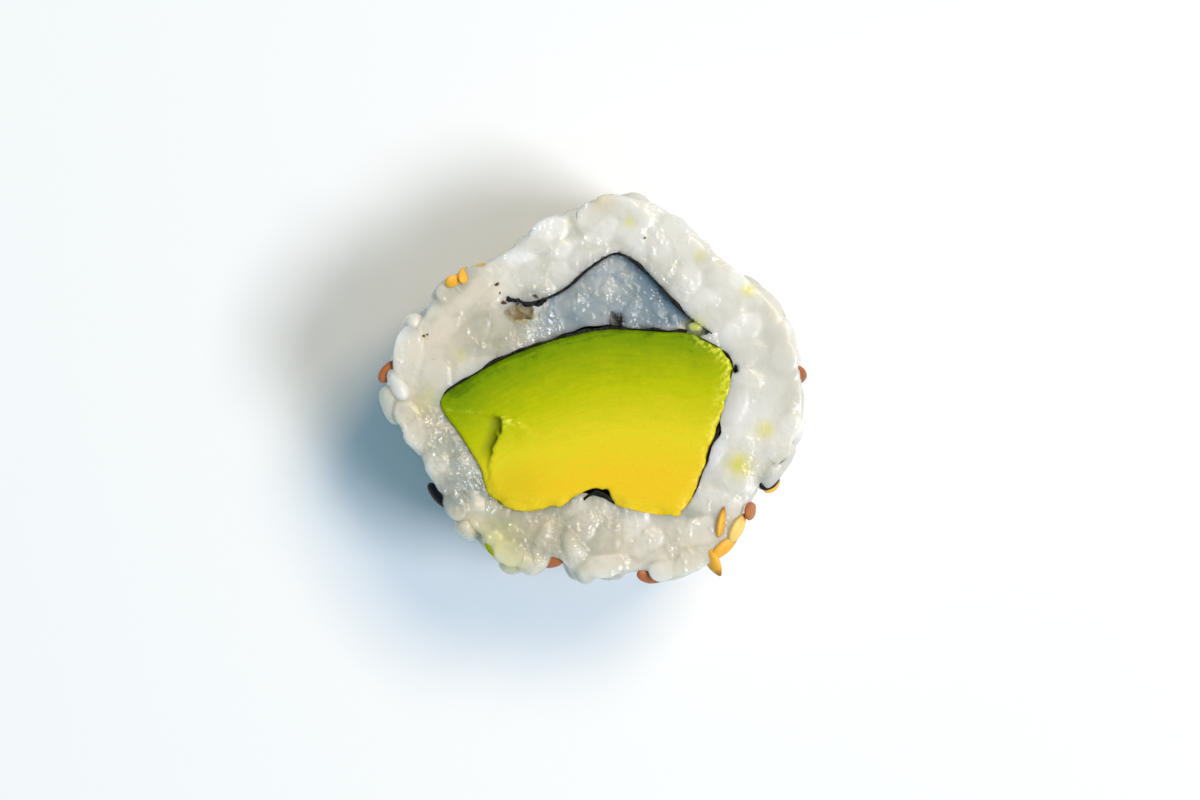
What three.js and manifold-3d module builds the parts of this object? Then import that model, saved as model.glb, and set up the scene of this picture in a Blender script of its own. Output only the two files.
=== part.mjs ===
// One piece of an inside-out avocado roll, standing on its lower cut face.
// A slice of avocado is wrapped in a sheet of nori. The sheet's free edge laps over a wedge of rice and
// ends inside the outer rice, and sesame seeds are stuck to the outside.
// Millimetres, +Z up. The origin is the centre of the bounding box's base, +Y points to the nori's lap.
import * as THREE from "three";
import { mergeVertices } from "three/addons/utils/BufferGeometryUtils.js";
import Module from "manifold-3d";

const wasm = await Module();
wasm.setup();

// The piece as a whole
const PIECE_HEIGHT = 25; // length of roll between the two knife cuts
const FOOT_TAPER = 0.024; // share of the width that the wall loses from the upper cut to the lower one
const RIM_TUCK = 0.01; // share of the width that the wall draws in at each cut
const TUCK_POWER = 6; // the higher, the straighter the middle of the wall
const FACE_RELIEF = 0.7; // how far the grains of the upper face stand out of the rice core
const WALL_RELIEF = 0.9; // how far the grains of the wall stand out of the rice core

// Rice grains and sesame seeds
const GRAIN = { length: 5.8, width: 2.9, thickness: 2.5 };
const SEED = { length: 3.2, width: 1.9, thickness: 1.0, taper: 0.45 };
const WALL_GRAINS = 112;
const FACE_TRIES = 140; // places tried on the upper face, of which those on rice get a grain
const FACE_MARGIN = 1.2; // least distance of a face grain's centre from the wall and from the pocket
const SEED_EVERY = 4; // every fourth wall grain carries a seed
const SEED_SINK = 0.3; // depth of a seed in the grain that carries it

// Nori sheet
const NORI_THICKNESS = 0.35;
const NORI_SETBACK = 0.3; // depth of the sheet's edges behind both cut faces
const WRAP_SHORT = 3; // points of the avocado's outline that the sheet leaves out, where its lap begins
const GAP = 0.3; // clearance between pieces that touch

// Avocado slice
const AVOCADO_SETBACK = 0.2; // depth of the avocado's upper face behind the rice
const FACET_DEPTH = 1.3; // drop of the torn facet at the avocado's left corner
const NOTCH = { x: 0.35, y: -11.5, width: 3.4, depth: 3.0 };

// Outer outline of the rice, counter-clockwise from the right
const RICE_OUTLINE = [
  [21.9, 1.9], [20.9, 6.5], [17.9, 10.4], [11.7, 15.6], [9.2, 18.0], [5.4, 20.3], [0.7, 20.2], [-3.9, 18.5],
  [-10.1, 14.4], [-17.3, 10.0], [-21.2, 3.3], [-22.0, -0.8], [-18.7, -7.2], [-15.9, -11.6], [-12.9, -15.4],
  [-9.2, -18.1], [-4.8, -19.4], [-0.7, -20.0], [8.3, -19.5], [11.8, -18.1], [15.9, -12.4], [21.5, -4.6],
];
// Outline of the avocado slice, counter-clockwise from the point where the nori starts
const AVOCADO_OUTLINE = [
  [10.5, 5.5], [6.3, 5.95], [0.6, 6.1], [-4.6, 4.9], [-9.3, 3.15], [-12.9, 1.15], [-15.8, -1.2],
  [-13.7, -4.6], [-11.5, -8.0], [-10.6, -10.6], [-8.2, -12.0], [-3.6, -11.7], [0.6, -11.2],
  [3.7, -12.1], [7.6, -12.7], [9.6, -11.6], [11.1, -8.0], [12.4, -4.1], [13.5, -0.4], [13.9, 3.0],
];
// The nori's lap, from the avocado's right shoulder over the rice wedge to the sheet's free edge
const NORI_LAP = [
  [12.0, 6.0], [9.7, 7.7], [6.9, 10.7], [4.2, 13.3], [2.1, 14.2], [-0.5, 12.7], [-2.8, 10.7], [-5.1, 9.5],
  [-7.0, 9.1], [-9.0, 9.5],
];
// The avocado's torn facet
const FACET_OUTLINE = [[-16.5, -1.9], [-9.8, -2.7], [-10.1, -5.4], [-11.3, -9.5], [-15.0, -6.0]];
// Seeds by the upper rim: x, y, height and turn from the wall's run in degrees
const RIM_SEEDS = [
  [-14.0, 11.5, 23.6, 8], [-12.1, 12.9, 22.8, 35], [-21.4, 2.3, 22.6, 60], [-16.7, -10.7, 22.4, 4],
  [-4.3, -17.3, 21.8, 20], [5.8, -19.7, 20.4, 12], [13.3, -15.6, 23.0, 30], [15.2, -14.2, 23.4, 5],
  [12.0, -17.8, 22.0, 65], [16.9, -12.2, 22.0, 80], [18.6, -10.0, 22.2, 15], [21.8, 1.8, 21.6, 70],
];

// Fineness of the faceted outlines
const RICE_SIDES = 52;
const WALL_STEPS = 4;
const AVOCADO_SIDES = 72;
const LAP_SIDES = 34;
const NOTCH_SIDES = 10;

// Steps of three irrational sequences that spread the grains evenly with no pattern
const SPREAD_ROUND = 0.7548776662466927;
const SPREAD_HIGH = 0.5698402909980532;
const SPREAD_TURN = 0.6180339887498949;

const MERGE_MM = 1e-4;
const CUT_OVERSHOOT = 4;
const CORE_TOP = PIECE_HEIGHT - FACE_RELIEF;

/** Term n of an evenly spread sequence between 0 and 1. */
function spread(n, step) {
  return (0.5 + n * step) % 1;
}

/** Share of the full width that the wall has at a height. */
function barrel(z) {
  const share = z / PIECE_HEIGHT;
  return 1 - FOOT_TAPER * (1 - share) - RIM_TUCK * Math.abs(2 * share - 1) ** TUCK_POWER;
}

/** Evenly spaced 2-D points on a smooth curve through control points. */
function smoothPoints(controls, closed, count) {
  const points = controls.map(([x, y]) => new THREE.Vector3(x, y, 0));
  const curve = new THREE.CatmullRomCurve3(points, closed, "catmullrom", 0.5);
  const spaced = curve.getSpacedPoints(count).map((p) => new THREE.Vector2(p.x, p.y));
  return closed ? spaced.slice(0, -1) : spaced;
}

/** Unit direction of a line of points at one of them. */
function directionAt(points, i, closed) {
  const last = points.length - 1;
  const before = closed ? points.at(i - 1) : points[Math.max(i - 1, 0)];
  const after = closed ? points[(i + 1) % points.length] : points[Math.min(i + 1, last)];
  return after.clone().sub(before).normalize();
}

/** A line of points moved to its right, which is outwards on a counter-clockwise outline. */
function offsetLine(points, distance, closed) {
  return points.map((point, i) => {
    const along = directionAt(points, i, closed);
    return new THREE.Vector2(point.x + along.y * distance, point.y - along.x * distance);
  });
}

/** Closed outline of a strip of even thickness along an open line of points. */
function stripOutline(points, thickness, endOvershoot) {
  const line = points.map((point) => point.clone());
  line[0].addScaledVector(directionAt(points, 0, false), -endOvershoot);
  line.at(-1).addScaledVector(directionAt(points, points.length - 1, false), endOvershoot);
  const right = offsetLine(line, thickness / 2, false);
  const left = offsetLine(line, -thickness / 2, false);
  return [...right, ...left.reverse()];
}

/** Upright prism on a closed outline. */
function prism(outline, low, high, steps = 1) {
  const shape = new THREE.Shape(outline);
  const depth = high - low;
  return new THREE.ExtrudeGeometry(shape, { depth, steps, bevelEnabled: false }).translate(0, 0, low);
}

/** Solid that joins and cuts, from a closed geometry. */
function solidOf(geometry) {
  const bare = geometry.clone();
  bare.deleteAttribute("normal");
  bare.deleteAttribute("uv");
  const merged = mergeVertices(bare, MERGE_MM);
  const vertProperties = merged.attributes.position.array;
  const triVerts = new Uint32Array(merged.index.array);
  return new wasm.Manifold(new wasm.Mesh({ numProp: 3, vertProperties, triVerts }));
}

/** Geometry with flat-shaded faces, from a solid. */
function geometryOf(solid) {
  const mesh = solid.getMesh();
  const indexed = new THREE.BufferGeometry();
  indexed.setAttribute("position", new THREE.BufferAttribute(mesh.vertProperties, 3));
  indexed.setIndex(new THREE.BufferAttribute(mesh.triVerts, 1));
  const geometry = indexed.toNonIndexed();
  geometry.computeVertexNormals();
  return geometry;
}

/** The largest of a solid's separate bodies, with any sealed hollow filled. */
function largestBody(solid) {
  return solid.decompose().reduce((a, b) => (b.volume() > a.volume() ? b : a));
}

/** Whether a point lies inside a closed outline. */
function isInside(outline, x, y) {
  let inside = false;
  outline.forEach((a, i) => {
    const b = outline.at(i - 1);
    const crosses = a.y > y !== b.y > y;
    if (crosses && x < ((b.x - a.x) * (y - a.y)) / (b.y - a.y) + a.x) inside = !inside;
  });
  return inside;
}

/** Distance from a point to the nearest point of a list. */
function distanceTo(points, x, y) {
  return Math.min(...points.map((point) => Math.hypot(point.x - x, point.y - y)));
}

const riceOutline = smoothPoints(RICE_OUTLINE, true, RICE_SIDES);
const avocadoOutline = smoothPoints(AVOCADO_OUTLINE, true, AVOCADO_SIDES);
const wrapOutline = offsetLine(avocadoOutline, GAP + NORI_THICKNESS / 2, true);
const pocketOutline = offsetLine(avocadoOutline, 2 * GAP + NORI_THICKNESS, true);
const noriLine = [...wrapOutline.slice(0, -WRAP_SHORT), ...smoothPoints(NORI_LAP, false, LAP_SIDES)];
const lapChannel = stripOutline(noriLine, NORI_THICKNESS + 2 * GAP, GAP);
const rimOutline = riceOutline.map((point) => point.clone().multiplyScalar(barrel(PIECE_HEIGHT)));

/** Place on the wall: the outline's point at a share of its length, drawn in as the wall is at that height. */
function wallPlace(share, z) {
  const i = Math.floor(share * riceOutline.length);
  const next = riceOutline[(i + 1) % riceOutline.length];
  const point = riceOutline[i].clone().lerp(next, share * riceOutline.length - i);
  const along = next.clone().sub(riceOutline[i]).normalize();
  point.multiplyScalar(barrel(z));
  return {
    point: new THREE.Vector3(point.x, point.y, z),
    along: new THREE.Vector3(along.x, along.y, 0),
    out: new THREE.Vector3(along.y, -along.x, 0),
    heading: along.angle(),
  };
}

/** Share of the outline's length at the outline point nearest to a place. */
function shareNear(x, y) {
  const distances = riceOutline.map((point) => Math.hypot(point.x - x, point.y - y));
  return distances.indexOf(Math.min(...distances)) / riceOutline.length;
}

/** A blunt kernel with few faces, drawn thinner towards +X by a taper. */
function kernel({ length, width, thickness, taper = 0 }) {
  const geometry = new THREE.IcosahedronGeometry(1, 0);
  geometry.computeBoundingBox();
  const reach = geometry.boundingBox.max.x;
  const position = geometry.attributes.position;
  for (let i = 0; i < position.count; i++) {
    const slim = 1 - taper * Math.max(position.getX(i), 0);
    position.setXYZ(i, position.getX(i), position.getY(i) * slim, position.getZ(i) * slim);
  }
  return geometry.scale(length / 2 / reach, width / 2 / reach, thickness / 2 / reach);
}

/** A kernel that lies on a surface, turned in it from a first direction by an angle. */
function laid(size, centre, first, out, turn) {
  const side = out.clone().cross(first);
  const long = first.clone().multiplyScalar(Math.cos(turn)).addScaledVector(side, Math.sin(turn));
  const wide = out.clone().cross(long);
  const matrix = new THREE.Matrix4().makeBasis(long, wide, out).setPosition(centre);
  return solidOf(kernel(size).applyMatrix4(matrix));
}

/** A grain pressed into the wall, flush with the outer outline. */
function wallGrain({ point, along, out }, turn) {
  const centre = point.clone().addScaledVector(out, -GRAIN.thickness / 2);
  return laid(GRAIN, centre, along, out, turn);
}

/** A seed stuck to the outside of a wall grain. */
function wallSeed({ point, along, out }, turn) {
  const centre = point.clone().addScaledVector(out, SEED.thickness / 2 - SEED_SINK);
  return laid(SEED, centre, along, out, turn);
}

/** Grains over the whole wall, some with a seed. */
function wallGrains() {
  const pieces = [];
  for (let n = 0; n < WALL_GRAINS; n++) {
    const place = wallPlace(spread(n, SPREAD_ROUND), spread(n, SPREAD_HIGH) * PIECE_HEIGHT);
    const turn = Math.PI * spread(n, SPREAD_TURN);
    pieces.push(wallGrain(place, turn));
    if (n % SEED_EVERY === 1) pieces.push(wallSeed(place, -turn));
  }
  return pieces;
}

/** The seeds by the upper rim, each with a grain under it. */
function rimSeeds() {
  return RIM_SEEDS.flatMap(([x, y, z, degrees]) => {
    const place = wallPlace(shareNear(x, y), z);
    const turn = THREE.MathUtils.degToRad(degrees);
    return [wallGrain(place, turn), wallSeed(place, turn)];
  });
}

/** Turn of a face grain: its own, unless an end would stick out of the rim and it lies along the rim. */
function faceTurn(x, y, turn) {
  const reach = new THREE.Vector2(Math.cos(turn), Math.sin(turn)).multiplyScalar(GRAIN.length / 2);
  const fits = [1, -1].every((end) => isInside(rimOutline, x + end * reach.x, y + end * reach.y));
  return fits ? turn : wallPlace(shareNear(x, y), PIECE_HEIGHT).heading;
}

/** Grains of the upper face, wherever the face is rice. */
function faceGrains() {
  const pieces = [];
  const up = new THREE.Vector3(0, 0, 1);
  const right = new THREE.Vector3(1, 0, 0);
  const box = new THREE.Box2().setFromPoints(rimOutline);
  const size = box.getSize(new THREE.Vector2());
  const edges = [...rimOutline, ...pocketOutline, ...lapChannel];
  for (let n = 0; n < FACE_TRIES; n++) {
    const x = box.min.x + size.x * spread(n, SPREAD_ROUND);
    const y = box.min.y + size.y * spread(n, SPREAD_HIGH);
    const onRice = isInside(rimOutline, x, y) && !isInside(pocketOutline, x, y);
    if (!onRice || distanceTo(edges, x, y) < FACE_MARGIN) continue;
    const centre = new THREE.Vector3(x, y, PIECE_HEIGHT - GRAIN.thickness / 2);
    const turn = faceTurn(x, y, 2 * Math.PI * spread(n, SPREAD_TURN));
    pieces.push(laid(GRAIN, centre, right, up, turn));
  }
  return pieces;
}

/** The rice: a barrel-shaped core with grains and seeds fused on, trimmed by the two cuts and the pocket. */
function riceGeometry() {
  const core = prism(offsetLine(riceOutline, -WALL_RELIEF, true), 0, CORE_TOP, WALL_STEPS);
  const position = core.attributes.position;
  for (let i = 0; i < position.count; i++) {
    const share = barrel(position.getZ(i));
    position.setXY(i, position.getX(i) * share, position.getY(i) * share);
  }
  const knifeCuts = prism(offsetLine(riceOutline, CUT_OVERSHOOT, true), 0, PIECE_HEIGHT);
  const pocket = prism(pocketOutline, -CUT_OVERSHOOT, PIECE_HEIGHT + CUT_OVERSHOOT);
  const channel = prism(lapChannel, -CUT_OVERSHOOT, PIECE_HEIGHT + CUT_OVERSHOOT);
  const grains = [...wallGrains(), ...rimSeeds(), ...faceGrains()];
  const rice = grains
    .reduce((body, grain) => body.add(grain), solidOf(core))
    .intersect(solidOf(knifeCuts))
    .subtract(solidOf(pocket))
    .subtract(solidOf(channel));
  return geometryOf(largestBody(rice));
}

/** The nori: one thin sheet round the avocado and over the rice wedge. */
function noriGeometry() {
  const outline = stripOutline(noriLine, NORI_THICKNESS, 0);
  return prism(outline, NORI_SETBACK, PIECE_HEIGHT - NORI_SETBACK);
}

/** The avocado slice, with a torn facet at its left corner and a notch in its lower side. */
function avocadoGeometry() {
  const top = PIECE_HEIGHT - AVOCADO_SETBACK;
  const facetOutline = FACET_OUTLINE.map(([x, y]) => new THREE.Vector2(x, y));
  const facet = prism(facetOutline, top - FACET_DEPTH, top + CUT_OVERSHOOT);
  const notchCurve = new THREE.EllipseCurve(NOTCH.x, NOTCH.y, NOTCH.width / 2, NOTCH.depth / 2);
  const notchOutline = notchCurve.getPoints(NOTCH_SIDES).slice(0, -1);
  const notch = prism(notchOutline, -CUT_OVERSHOOT, top + CUT_OVERSHOOT);
  const slice = solidOf(prism(avocadoOutline, 0, top));
  return geometryOf(largestBody(slice.subtract(solidOf(facet)).subtract(solidOf(notch))));
}

/** A named piece of the roll with its own finish. */
function piece(name, geometry, finish) {
  const mesh = new THREE.Mesh(geometry, new THREE.MeshStandardMaterial(finish));
  mesh.name = name;
  return mesh;
}

const roll = new THREE.Group();
roll.add(
  piece("rice", riceGeometry(), { color: 0xdfddd2, roughness: 0.45, metalness: 0 }),
  piece("nori", noriGeometry(), { color: 0x14170f, roughness: 0.6, metalness: 0 }),
  piece("avocado", avocadoGeometry(), { color: 0xc4c41c, roughness: 0.4, metalness: 0 }),
);
const bounds = new THREE.Box3().setFromObject(roll);
const centre = bounds.getCenter(new THREE.Vector3());
roll.position.set(-centre.x, -centre.y, -bounds.min.z);

export default roll;
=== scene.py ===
"""One piece of an inside-out avocado roll, standing on its cut face and seen from straight above.

The rice, nori, avocado and sesame are shaped in the plan's millimetres, x to the right and y to the nori's
lap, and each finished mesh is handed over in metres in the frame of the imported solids.
"""

import logging
import math
from dataclasses import dataclass, field, replace
from enum import Enum
from typing import Any, Callable, Sequence

import bpy
import numpy as np
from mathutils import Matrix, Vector
from mathutils.bvhtree import BVHTree


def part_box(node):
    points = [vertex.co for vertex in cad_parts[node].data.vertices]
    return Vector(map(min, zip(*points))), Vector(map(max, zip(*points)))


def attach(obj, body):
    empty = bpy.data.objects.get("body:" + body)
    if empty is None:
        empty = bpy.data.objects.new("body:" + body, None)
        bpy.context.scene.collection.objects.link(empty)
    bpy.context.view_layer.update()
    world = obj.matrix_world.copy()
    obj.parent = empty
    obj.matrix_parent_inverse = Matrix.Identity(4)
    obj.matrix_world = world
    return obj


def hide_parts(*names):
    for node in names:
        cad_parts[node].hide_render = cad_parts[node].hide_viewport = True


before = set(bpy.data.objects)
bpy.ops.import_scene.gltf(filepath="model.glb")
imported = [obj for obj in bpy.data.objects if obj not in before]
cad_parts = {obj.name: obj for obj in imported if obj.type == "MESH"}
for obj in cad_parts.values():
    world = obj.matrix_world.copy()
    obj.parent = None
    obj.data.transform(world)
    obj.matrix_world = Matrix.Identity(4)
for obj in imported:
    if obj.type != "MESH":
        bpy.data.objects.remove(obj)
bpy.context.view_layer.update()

Array = np.ndarray
Colour = tuple[float, float, float, float]
Piece = bpy.types.Object
Place = tuple[float, ...]

# Size, seed and strength of a wobble
Wave = tuple[float, int, float]

# A seed's middle, direction out of the rice, turn, tilt, roll and the direction that its turn starts from
SeedPose = tuple[Array, Array, float, float, float, Array]

MM = 0.001
BODY = "root"
LOG = logging.getLogger("roll")
UP = np.array([0.0, 0.0, 1.0])
RIGHT = np.array([1.0, 0.0, 0.0])
BLACK: Colour = (0.0, 0.0, 0.0, 1.0)
WHITE: Colour = (1.0, 1.0, 1.0, 1.0)

# Steps of three irrational sequences that spread grains and seeds evenly with no pattern
SPREAD_ROUND = 0.7548776662466927
SPREAD_HIGH = 0.5698402909980532
SPREAD_TURN = 0.6180339887498949

# Steps between two points of a smooth curve, steps of an outline that depths are measured from
CURVE_STEPS = 24
OUTLINE_STEPS = 240

# How many waves a wobble adds up, the sum that counts as 1, and the range of their pitches
WAVES = 9
WAVE_SUM = 4.0
WAVE_PITCHES = (0.6, 1.6)

# Share of its relief and unevenness that a calm patch of rice loses
CALMING = 0.8

# How far a cutter reaches past both cut faces
CUT_MARGIN = 4.0


# Lines, masks and colours


def srgb(red: float, green: float, blue: float) -> Colour:
    """Linear colour of a screen colour given from 0 to 255."""
    shares = np.array([red, green, blue]) / 255.0
    linear = np.where(shares <= 0.04045, shares / 12.92, ((shares + 0.055) / 1.055) ** 2.4)
    return (float(linear[0]), float(linear[1]), float(linear[2]), 1.0)


def spread(count: int, step: float) -> Array:
    """First terms of an evenly spread sequence between 0 and 1."""
    return (0.5 + np.arange(count) * step) % 1.0


def unit(vectors: Array) -> Array:
    """Vectors scaled to length one."""
    return vectors / np.linalg.norm(vectors, axis=-1, keepdims=True)


def square_to(out: Array, vectors: Array) -> Array:
    """Vectors leaned square to unit directions, at length one."""
    return unit(vectors - out * np.sum(vectors * out, axis=1, keepdims=True))


def ease(start: float, end: float, values: Array) -> Array:
    """Smooth step from 0 at the start value to 1 at the end value."""
    share = np.clip((values - start) / (end - start), 0.0, 1.0)
    return share * share * (3.0 - 2.0 * share)


def soft_cap(values: Array, cap: float | Array, softness: float) -> Array:
    """Values pressed under a cap, with a soft shoulder."""
    return cap - softness * np.logaddexp(0.0, (cap - values) / softness)


def evenly(points: Array, count: int) -> Array:
    """A line of points respaced to even steps along its length.

    Args:
        points: The line, one row for each point.
        count: How many points to give back, both ends included.

    Returns:
        The respaced line.
    """
    steps = np.linalg.norm(np.diff(points, axis=0), axis=1)
    reach = np.concatenate([[0.0], np.cumsum(steps)])
    wanted = np.linspace(0.0, reach[-1], count)
    return np.column_stack([np.interp(wanted, reach, points[:, axis]) for axis in range(points.shape[1])])


def smooth_line(controls: Sequence[Place], closed: bool, count: int) -> Array:
    """Evenly spaced points on a smooth curve through control points.

    Args:
        controls: The points that the curve passes.
        closed: Whether the curve returns to its first point.
        count: How many points to give back.

    Returns:
        The points, without a second copy of the first one on a closed curve.
    """
    points = np.asarray(controls, float)
    if closed:
        padded = np.vstack([points[-1:], points, points[:2]])
    else:
        padded = np.vstack([2.0 * points[0] - points[1], points, 2.0 * points[-1] - points[-2]])
    share = np.linspace(0.0, 1.0, CURVE_STEPS, endpoint=False)[:, None]
    spans = []
    for a, b, c, d in zip(padded, padded[1:], padded[2:], padded[3:]):
        curve = 3.0 * b - a - 3.0 * c + d
        lean = 2.0 * a - 5.0 * b + 4.0 * c - d
        spans.append(b + 0.5 * ((c - a) * share + lean * share**2 + curve * share**3))
    spans.append(padded[-2:-1])
    return evenly(np.vstack(spans), count + 1)[:-1] if closed else evenly(np.vstack(spans), count)


def headings(points: Array, closed: bool) -> Array:
    """Unit directions of a line at each of its points."""
    if closed:
        return unit(np.roll(points, -1, axis=0) - np.roll(points, 1, axis=0))
    return unit(np.gradient(points, axis=0))


def beside(points: Array, distance: float | Array, closed: bool) -> Array:
    """A line moved to its right, which is outwards on a counter-clockwise outline."""
    along = headings(points, closed)
    right = np.column_stack([along[:, 1], -along[:, 0]])
    return points + right * np.reshape(distance, (-1, 1))


def strip(points: Array, thickness: Array, overshoot: float) -> Array:
    """Closed outline of a strip along an open line.

    Args:
        points: The line that the strip follows.
        thickness: The strip's thickness at each of those points.
        overshoot: How much longer than the line it is at both ends.

    Returns:
        The outline.
    """
    along = headings(points, False)
    line = np.vstack([points[:1] - along[:1] * overshoot, points, points[-1:] + along[-1:] * overshoot])
    half = np.concatenate([thickness[:1], thickness, thickness[-1:]]) / 2.0
    return np.vstack([beside(line, half, False), beside(line, -half, False)[::-1]])


def is_inside(outline: Array, points: Array) -> Array:
    """Which points lie inside a closed outline, seen from above."""
    inside = np.zeros(len(points), bool)
    for (ax, ay), (bx, by) in zip(outline, np.roll(outline, 1, axis=0)):
        if ay == by:
            continue
        crosses = (ay > points[:, 1]) != (by > points[:, 1])
        edge = (bx - ax) * (points[:, 1] - ay) / (by - ay) + ax
        inside ^= crosses & (points[:, 0] < edge)
    return inside


def distance_to(line: Array, points: Array) -> Array:
    """Distance of each point from the nearest point of a line, seen from above."""
    nearest = np.full(len(points), np.inf)
    for x, y in line:
        nearest = np.minimum(nearest, (points[:, 0] - x) ** 2 + (points[:, 1] - y) ** 2)
    return np.sqrt(nearest)


def depth_in(outline: Array, points: Array) -> Array:
    """Distance of each point from a closed outline seen from above, negative outside it."""
    loop = evenly(np.vstack([outline, outline[:1]]), OUTLINE_STEPS)
    return np.where(is_inside(outline, points), 1.0, -1.0) * distance_to(loop, points)


def wobble(points: Array, size: float, seed: int) -> Array:
    """Smooth uneven waves of about that size, mostly between -1 and 1."""
    rng = np.random.default_rng(seed)
    total = np.zeros(len(points))
    for _ in range(WAVES):
        direction = unit(rng.normal(size=points.shape[1]))
        pitch = 2.0 * math.pi / size * rng.uniform(*WAVE_PITCHES)
        total += np.sin(points @ direction * pitch + rng.uniform(0.0, 2.0 * math.pi))
    return total / WAVE_SUM


def waves(rows: Sequence[Wave], points: Array) -> Array:
    """Sum of wobbles given by their sizes, seeds and strengths."""
    return sum(strength * wobble(points, size, seed) for size, seed, strength in rows)


def bounded(rng: np.random.Generator, count: int, rule: Place) -> Array:
    """Random values by a rule of mean, spread, least and most."""
    mean, wide, least, most = rule
    return np.clip(rng.normal(mean, wide, count), least, most)


def spots(places: Sequence[Place], points: Array) -> Array:
    """Soft round spots seen from above.

    Args:
        places: Each spot's x, y, reach and strength.
        points: The points to look at.

    Returns:
        The sum of the spots' strengths at each point.
    """
    total = np.zeros(len(points))
    for x, y, reach, strength in places:
        gap = (points[:, 0] - x) ** 2 + (points[:, 1] - y) ** 2
        total += strength * np.exp(-gap / reach**2)
    return total


def patches(places: Sequence[Place], points: Array) -> Array:
    """Soft round spots whose sum stays between 0 and 1."""
    return np.clip(spots(places, points), 0.0, 1.0)


# Shader nodes


class Signal:
    """A value that changes over a surface: one shader socket with arithmetic that adds Math nodes."""

    def __init__(self, graph: "Graph", socket: bpy.types.NodeSocket) -> None:
        """Keeps the graph and the socket that carries the value."""
        self.graph = graph
        self.socket = socket

    def __add__(self, other: "Signal | float") -> "Signal":
        """Sum of two values."""
        return self.graph.math("ADD", self, other)

    def __sub__(self, other: "Signal | float") -> "Signal":
        """Difference of two values."""
        return self.graph.math("SUBTRACT", self, other)

    def __rsub__(self, other: float) -> "Signal":
        """Difference of a number and this value."""
        return self.graph.math("SUBTRACT", other, self)

    def __mul__(self, other: "Signal | float") -> "Signal":
        """Product of two values."""
        return self.graph.math("MULTIPLY", self, other)

    __radd__ = __add__


class Graph:
    """The shader nodes of one material."""

    def __init__(self, name: str) -> None:
        """Makes an empty material of that name."""
        self.material = bpy.data.materials.new(name)
        self.material.use_nodes = True
        self.tree = self.material.node_tree
        self.tree.nodes.clear()

    def node(self, kind: str, settings: dict[str, Any], sockets: dict[str, Any]) -> bpy.types.Node:
        """Adds a node.

        Args:
            kind: Blender's name of the node type.
            settings: The node's own settings, set first. A ramp's "stops" are pairs of place and colour.
            sockets: A value or a signal for each named input.

        Returns:
            The node.
        """
        made = self.tree.nodes.new(kind)
        for key, value in settings.items():
            if key == "stops":
                self._set_stops(made.color_ramp, value)
            else:
                setattr(made, key, value)
        for key, value in sockets.items():
            self._feed(next(s for s in made.inputs if key in (s.identifier, s.name)), value)
        return made

    def _feed(self, socket: bpy.types.NodeSocket, value: Any) -> None:
        """Gives an input a fixed value, or links it to a signal."""
        if isinstance(value, Signal):
            self.tree.links.new(value.socket, socket)
        else:
            socket.default_value = value

    @staticmethod
    def _set_stops(ramp: bpy.types.ColorRamp, stops: Sequence[tuple[float, Colour]]) -> None:
        """Gives a colour ramp its stops."""
        while len(ramp.elements) < len(stops):
            ramp.elements.new(1.0)
        for element, (place, colour) in zip(ramp.elements, stops):
            element.position = place
            element.color = colour

    def out(self, node: bpy.types.Node, label: str) -> Signal:
        """The signal of a node's named output."""
        return Signal(self, next(s for s in node.outputs if label in (s.identifier, s.name)))

    def math(self, operation: str, first: "Signal | float", second: "Signal | float") -> Signal:
        """Adds a Math node on two values."""
        node = self.tree.nodes.new("ShaderNodeMath")
        node.operation = operation
        for socket, value in zip(node.inputs, (first, second)):
            self._feed(socket, value)
        return Signal(self, node.outputs[0])

    def mix(self, share: "Signal | float", first: "Signal | Colour", second: "Signal | Colour") -> Signal:
        """Mixes two colours, all of the second where the share is 1."""
        settings = {"data_type": "RGBA", "clamp_factor": True}
        sockets = {"Factor_Float": share, "A_Color": first, "B_Color": second}
        return self.out(self.node("ShaderNodeMix", settings, sockets), "Result_Color")

    def layered(self, colour: Signal, layers: Sequence[tuple[Signal, Colour]]) -> Signal:
        """Lays colours over another one, each where its share is 1."""
        for share, layer in layers:
            colour = self.mix(share, colour, layer)
        return colour

    def ramp(self, share: Signal, stops: Sequence[tuple[float, Colour]]) -> Signal:
        """Colour that follows a value through the stops of a ramp."""
        return self.out(self.node("ShaderNodeValToRGB", {"stops": stops}, {"Fac": share}), "Color")

    def step(self, value: Signal, stops: Place) -> Signal:
        """Runs from 0 where a value is at the first stop to 1 where it is at the second."""
        low, high = stops
        return self.ramp(value, [(low, BLACK), (high, WHITE)])

    def painted(self, label: str, output: str = "Fac") -> Signal:
        """A value painted on the mesh's own points, or a vector with the output "Vector"."""
        return self.out(self.node("ShaderNodeAttribute", {"attribute_name": label}, {}), output)

    def place(self) -> Signal:
        """The object's own coordinates, in metres."""
        return self.out(self.node("ShaderNodeTexCoord", {}, {}), "Object")

    def noise(self, size: float, detail: float = 2.0, at: "Signal | None" = None) -> Signal:
        """Soft noise between 0 and 1.

        Args:
            size: Size of its blotches in millimetres, or in the units of the vector given.
            detail: How many finer layers it has.
            at: The vector to read, or none for the object's own coordinates.

        Returns:
            The noise.
        """
        scale = 1.0 / (size * MM) if at is None else 1.0 / size
        sockets = {"Vector": at or self.place(), "Scale": scale, "Detail": detail}
        return self.out(self.node("ShaderNodeTexNoise", {}, sockets), "Fac")

    def bump(self, height: Signal, depth: float) -> Signal:
        """Normal of a surface with a fine relief of that depth in millimetres."""
        node = self.node("ShaderNodeBump", {}, {"Height": height, "Distance": depth * MM, "Strength": 1.0})
        return self.out(node, "Normal")

    def surface(self, sockets: dict[str, Any]) -> bpy.types.Material:
        """Ends the material in one Principled surface with those sockets."""
        shader = self.node("ShaderNodeBsdfPrincipled", {}, sockets)
        self.node("ShaderNodeOutputMaterial", {}, {"Surface": self.out(shader, "BSDF")})
        return self.material


# Finishes


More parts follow.
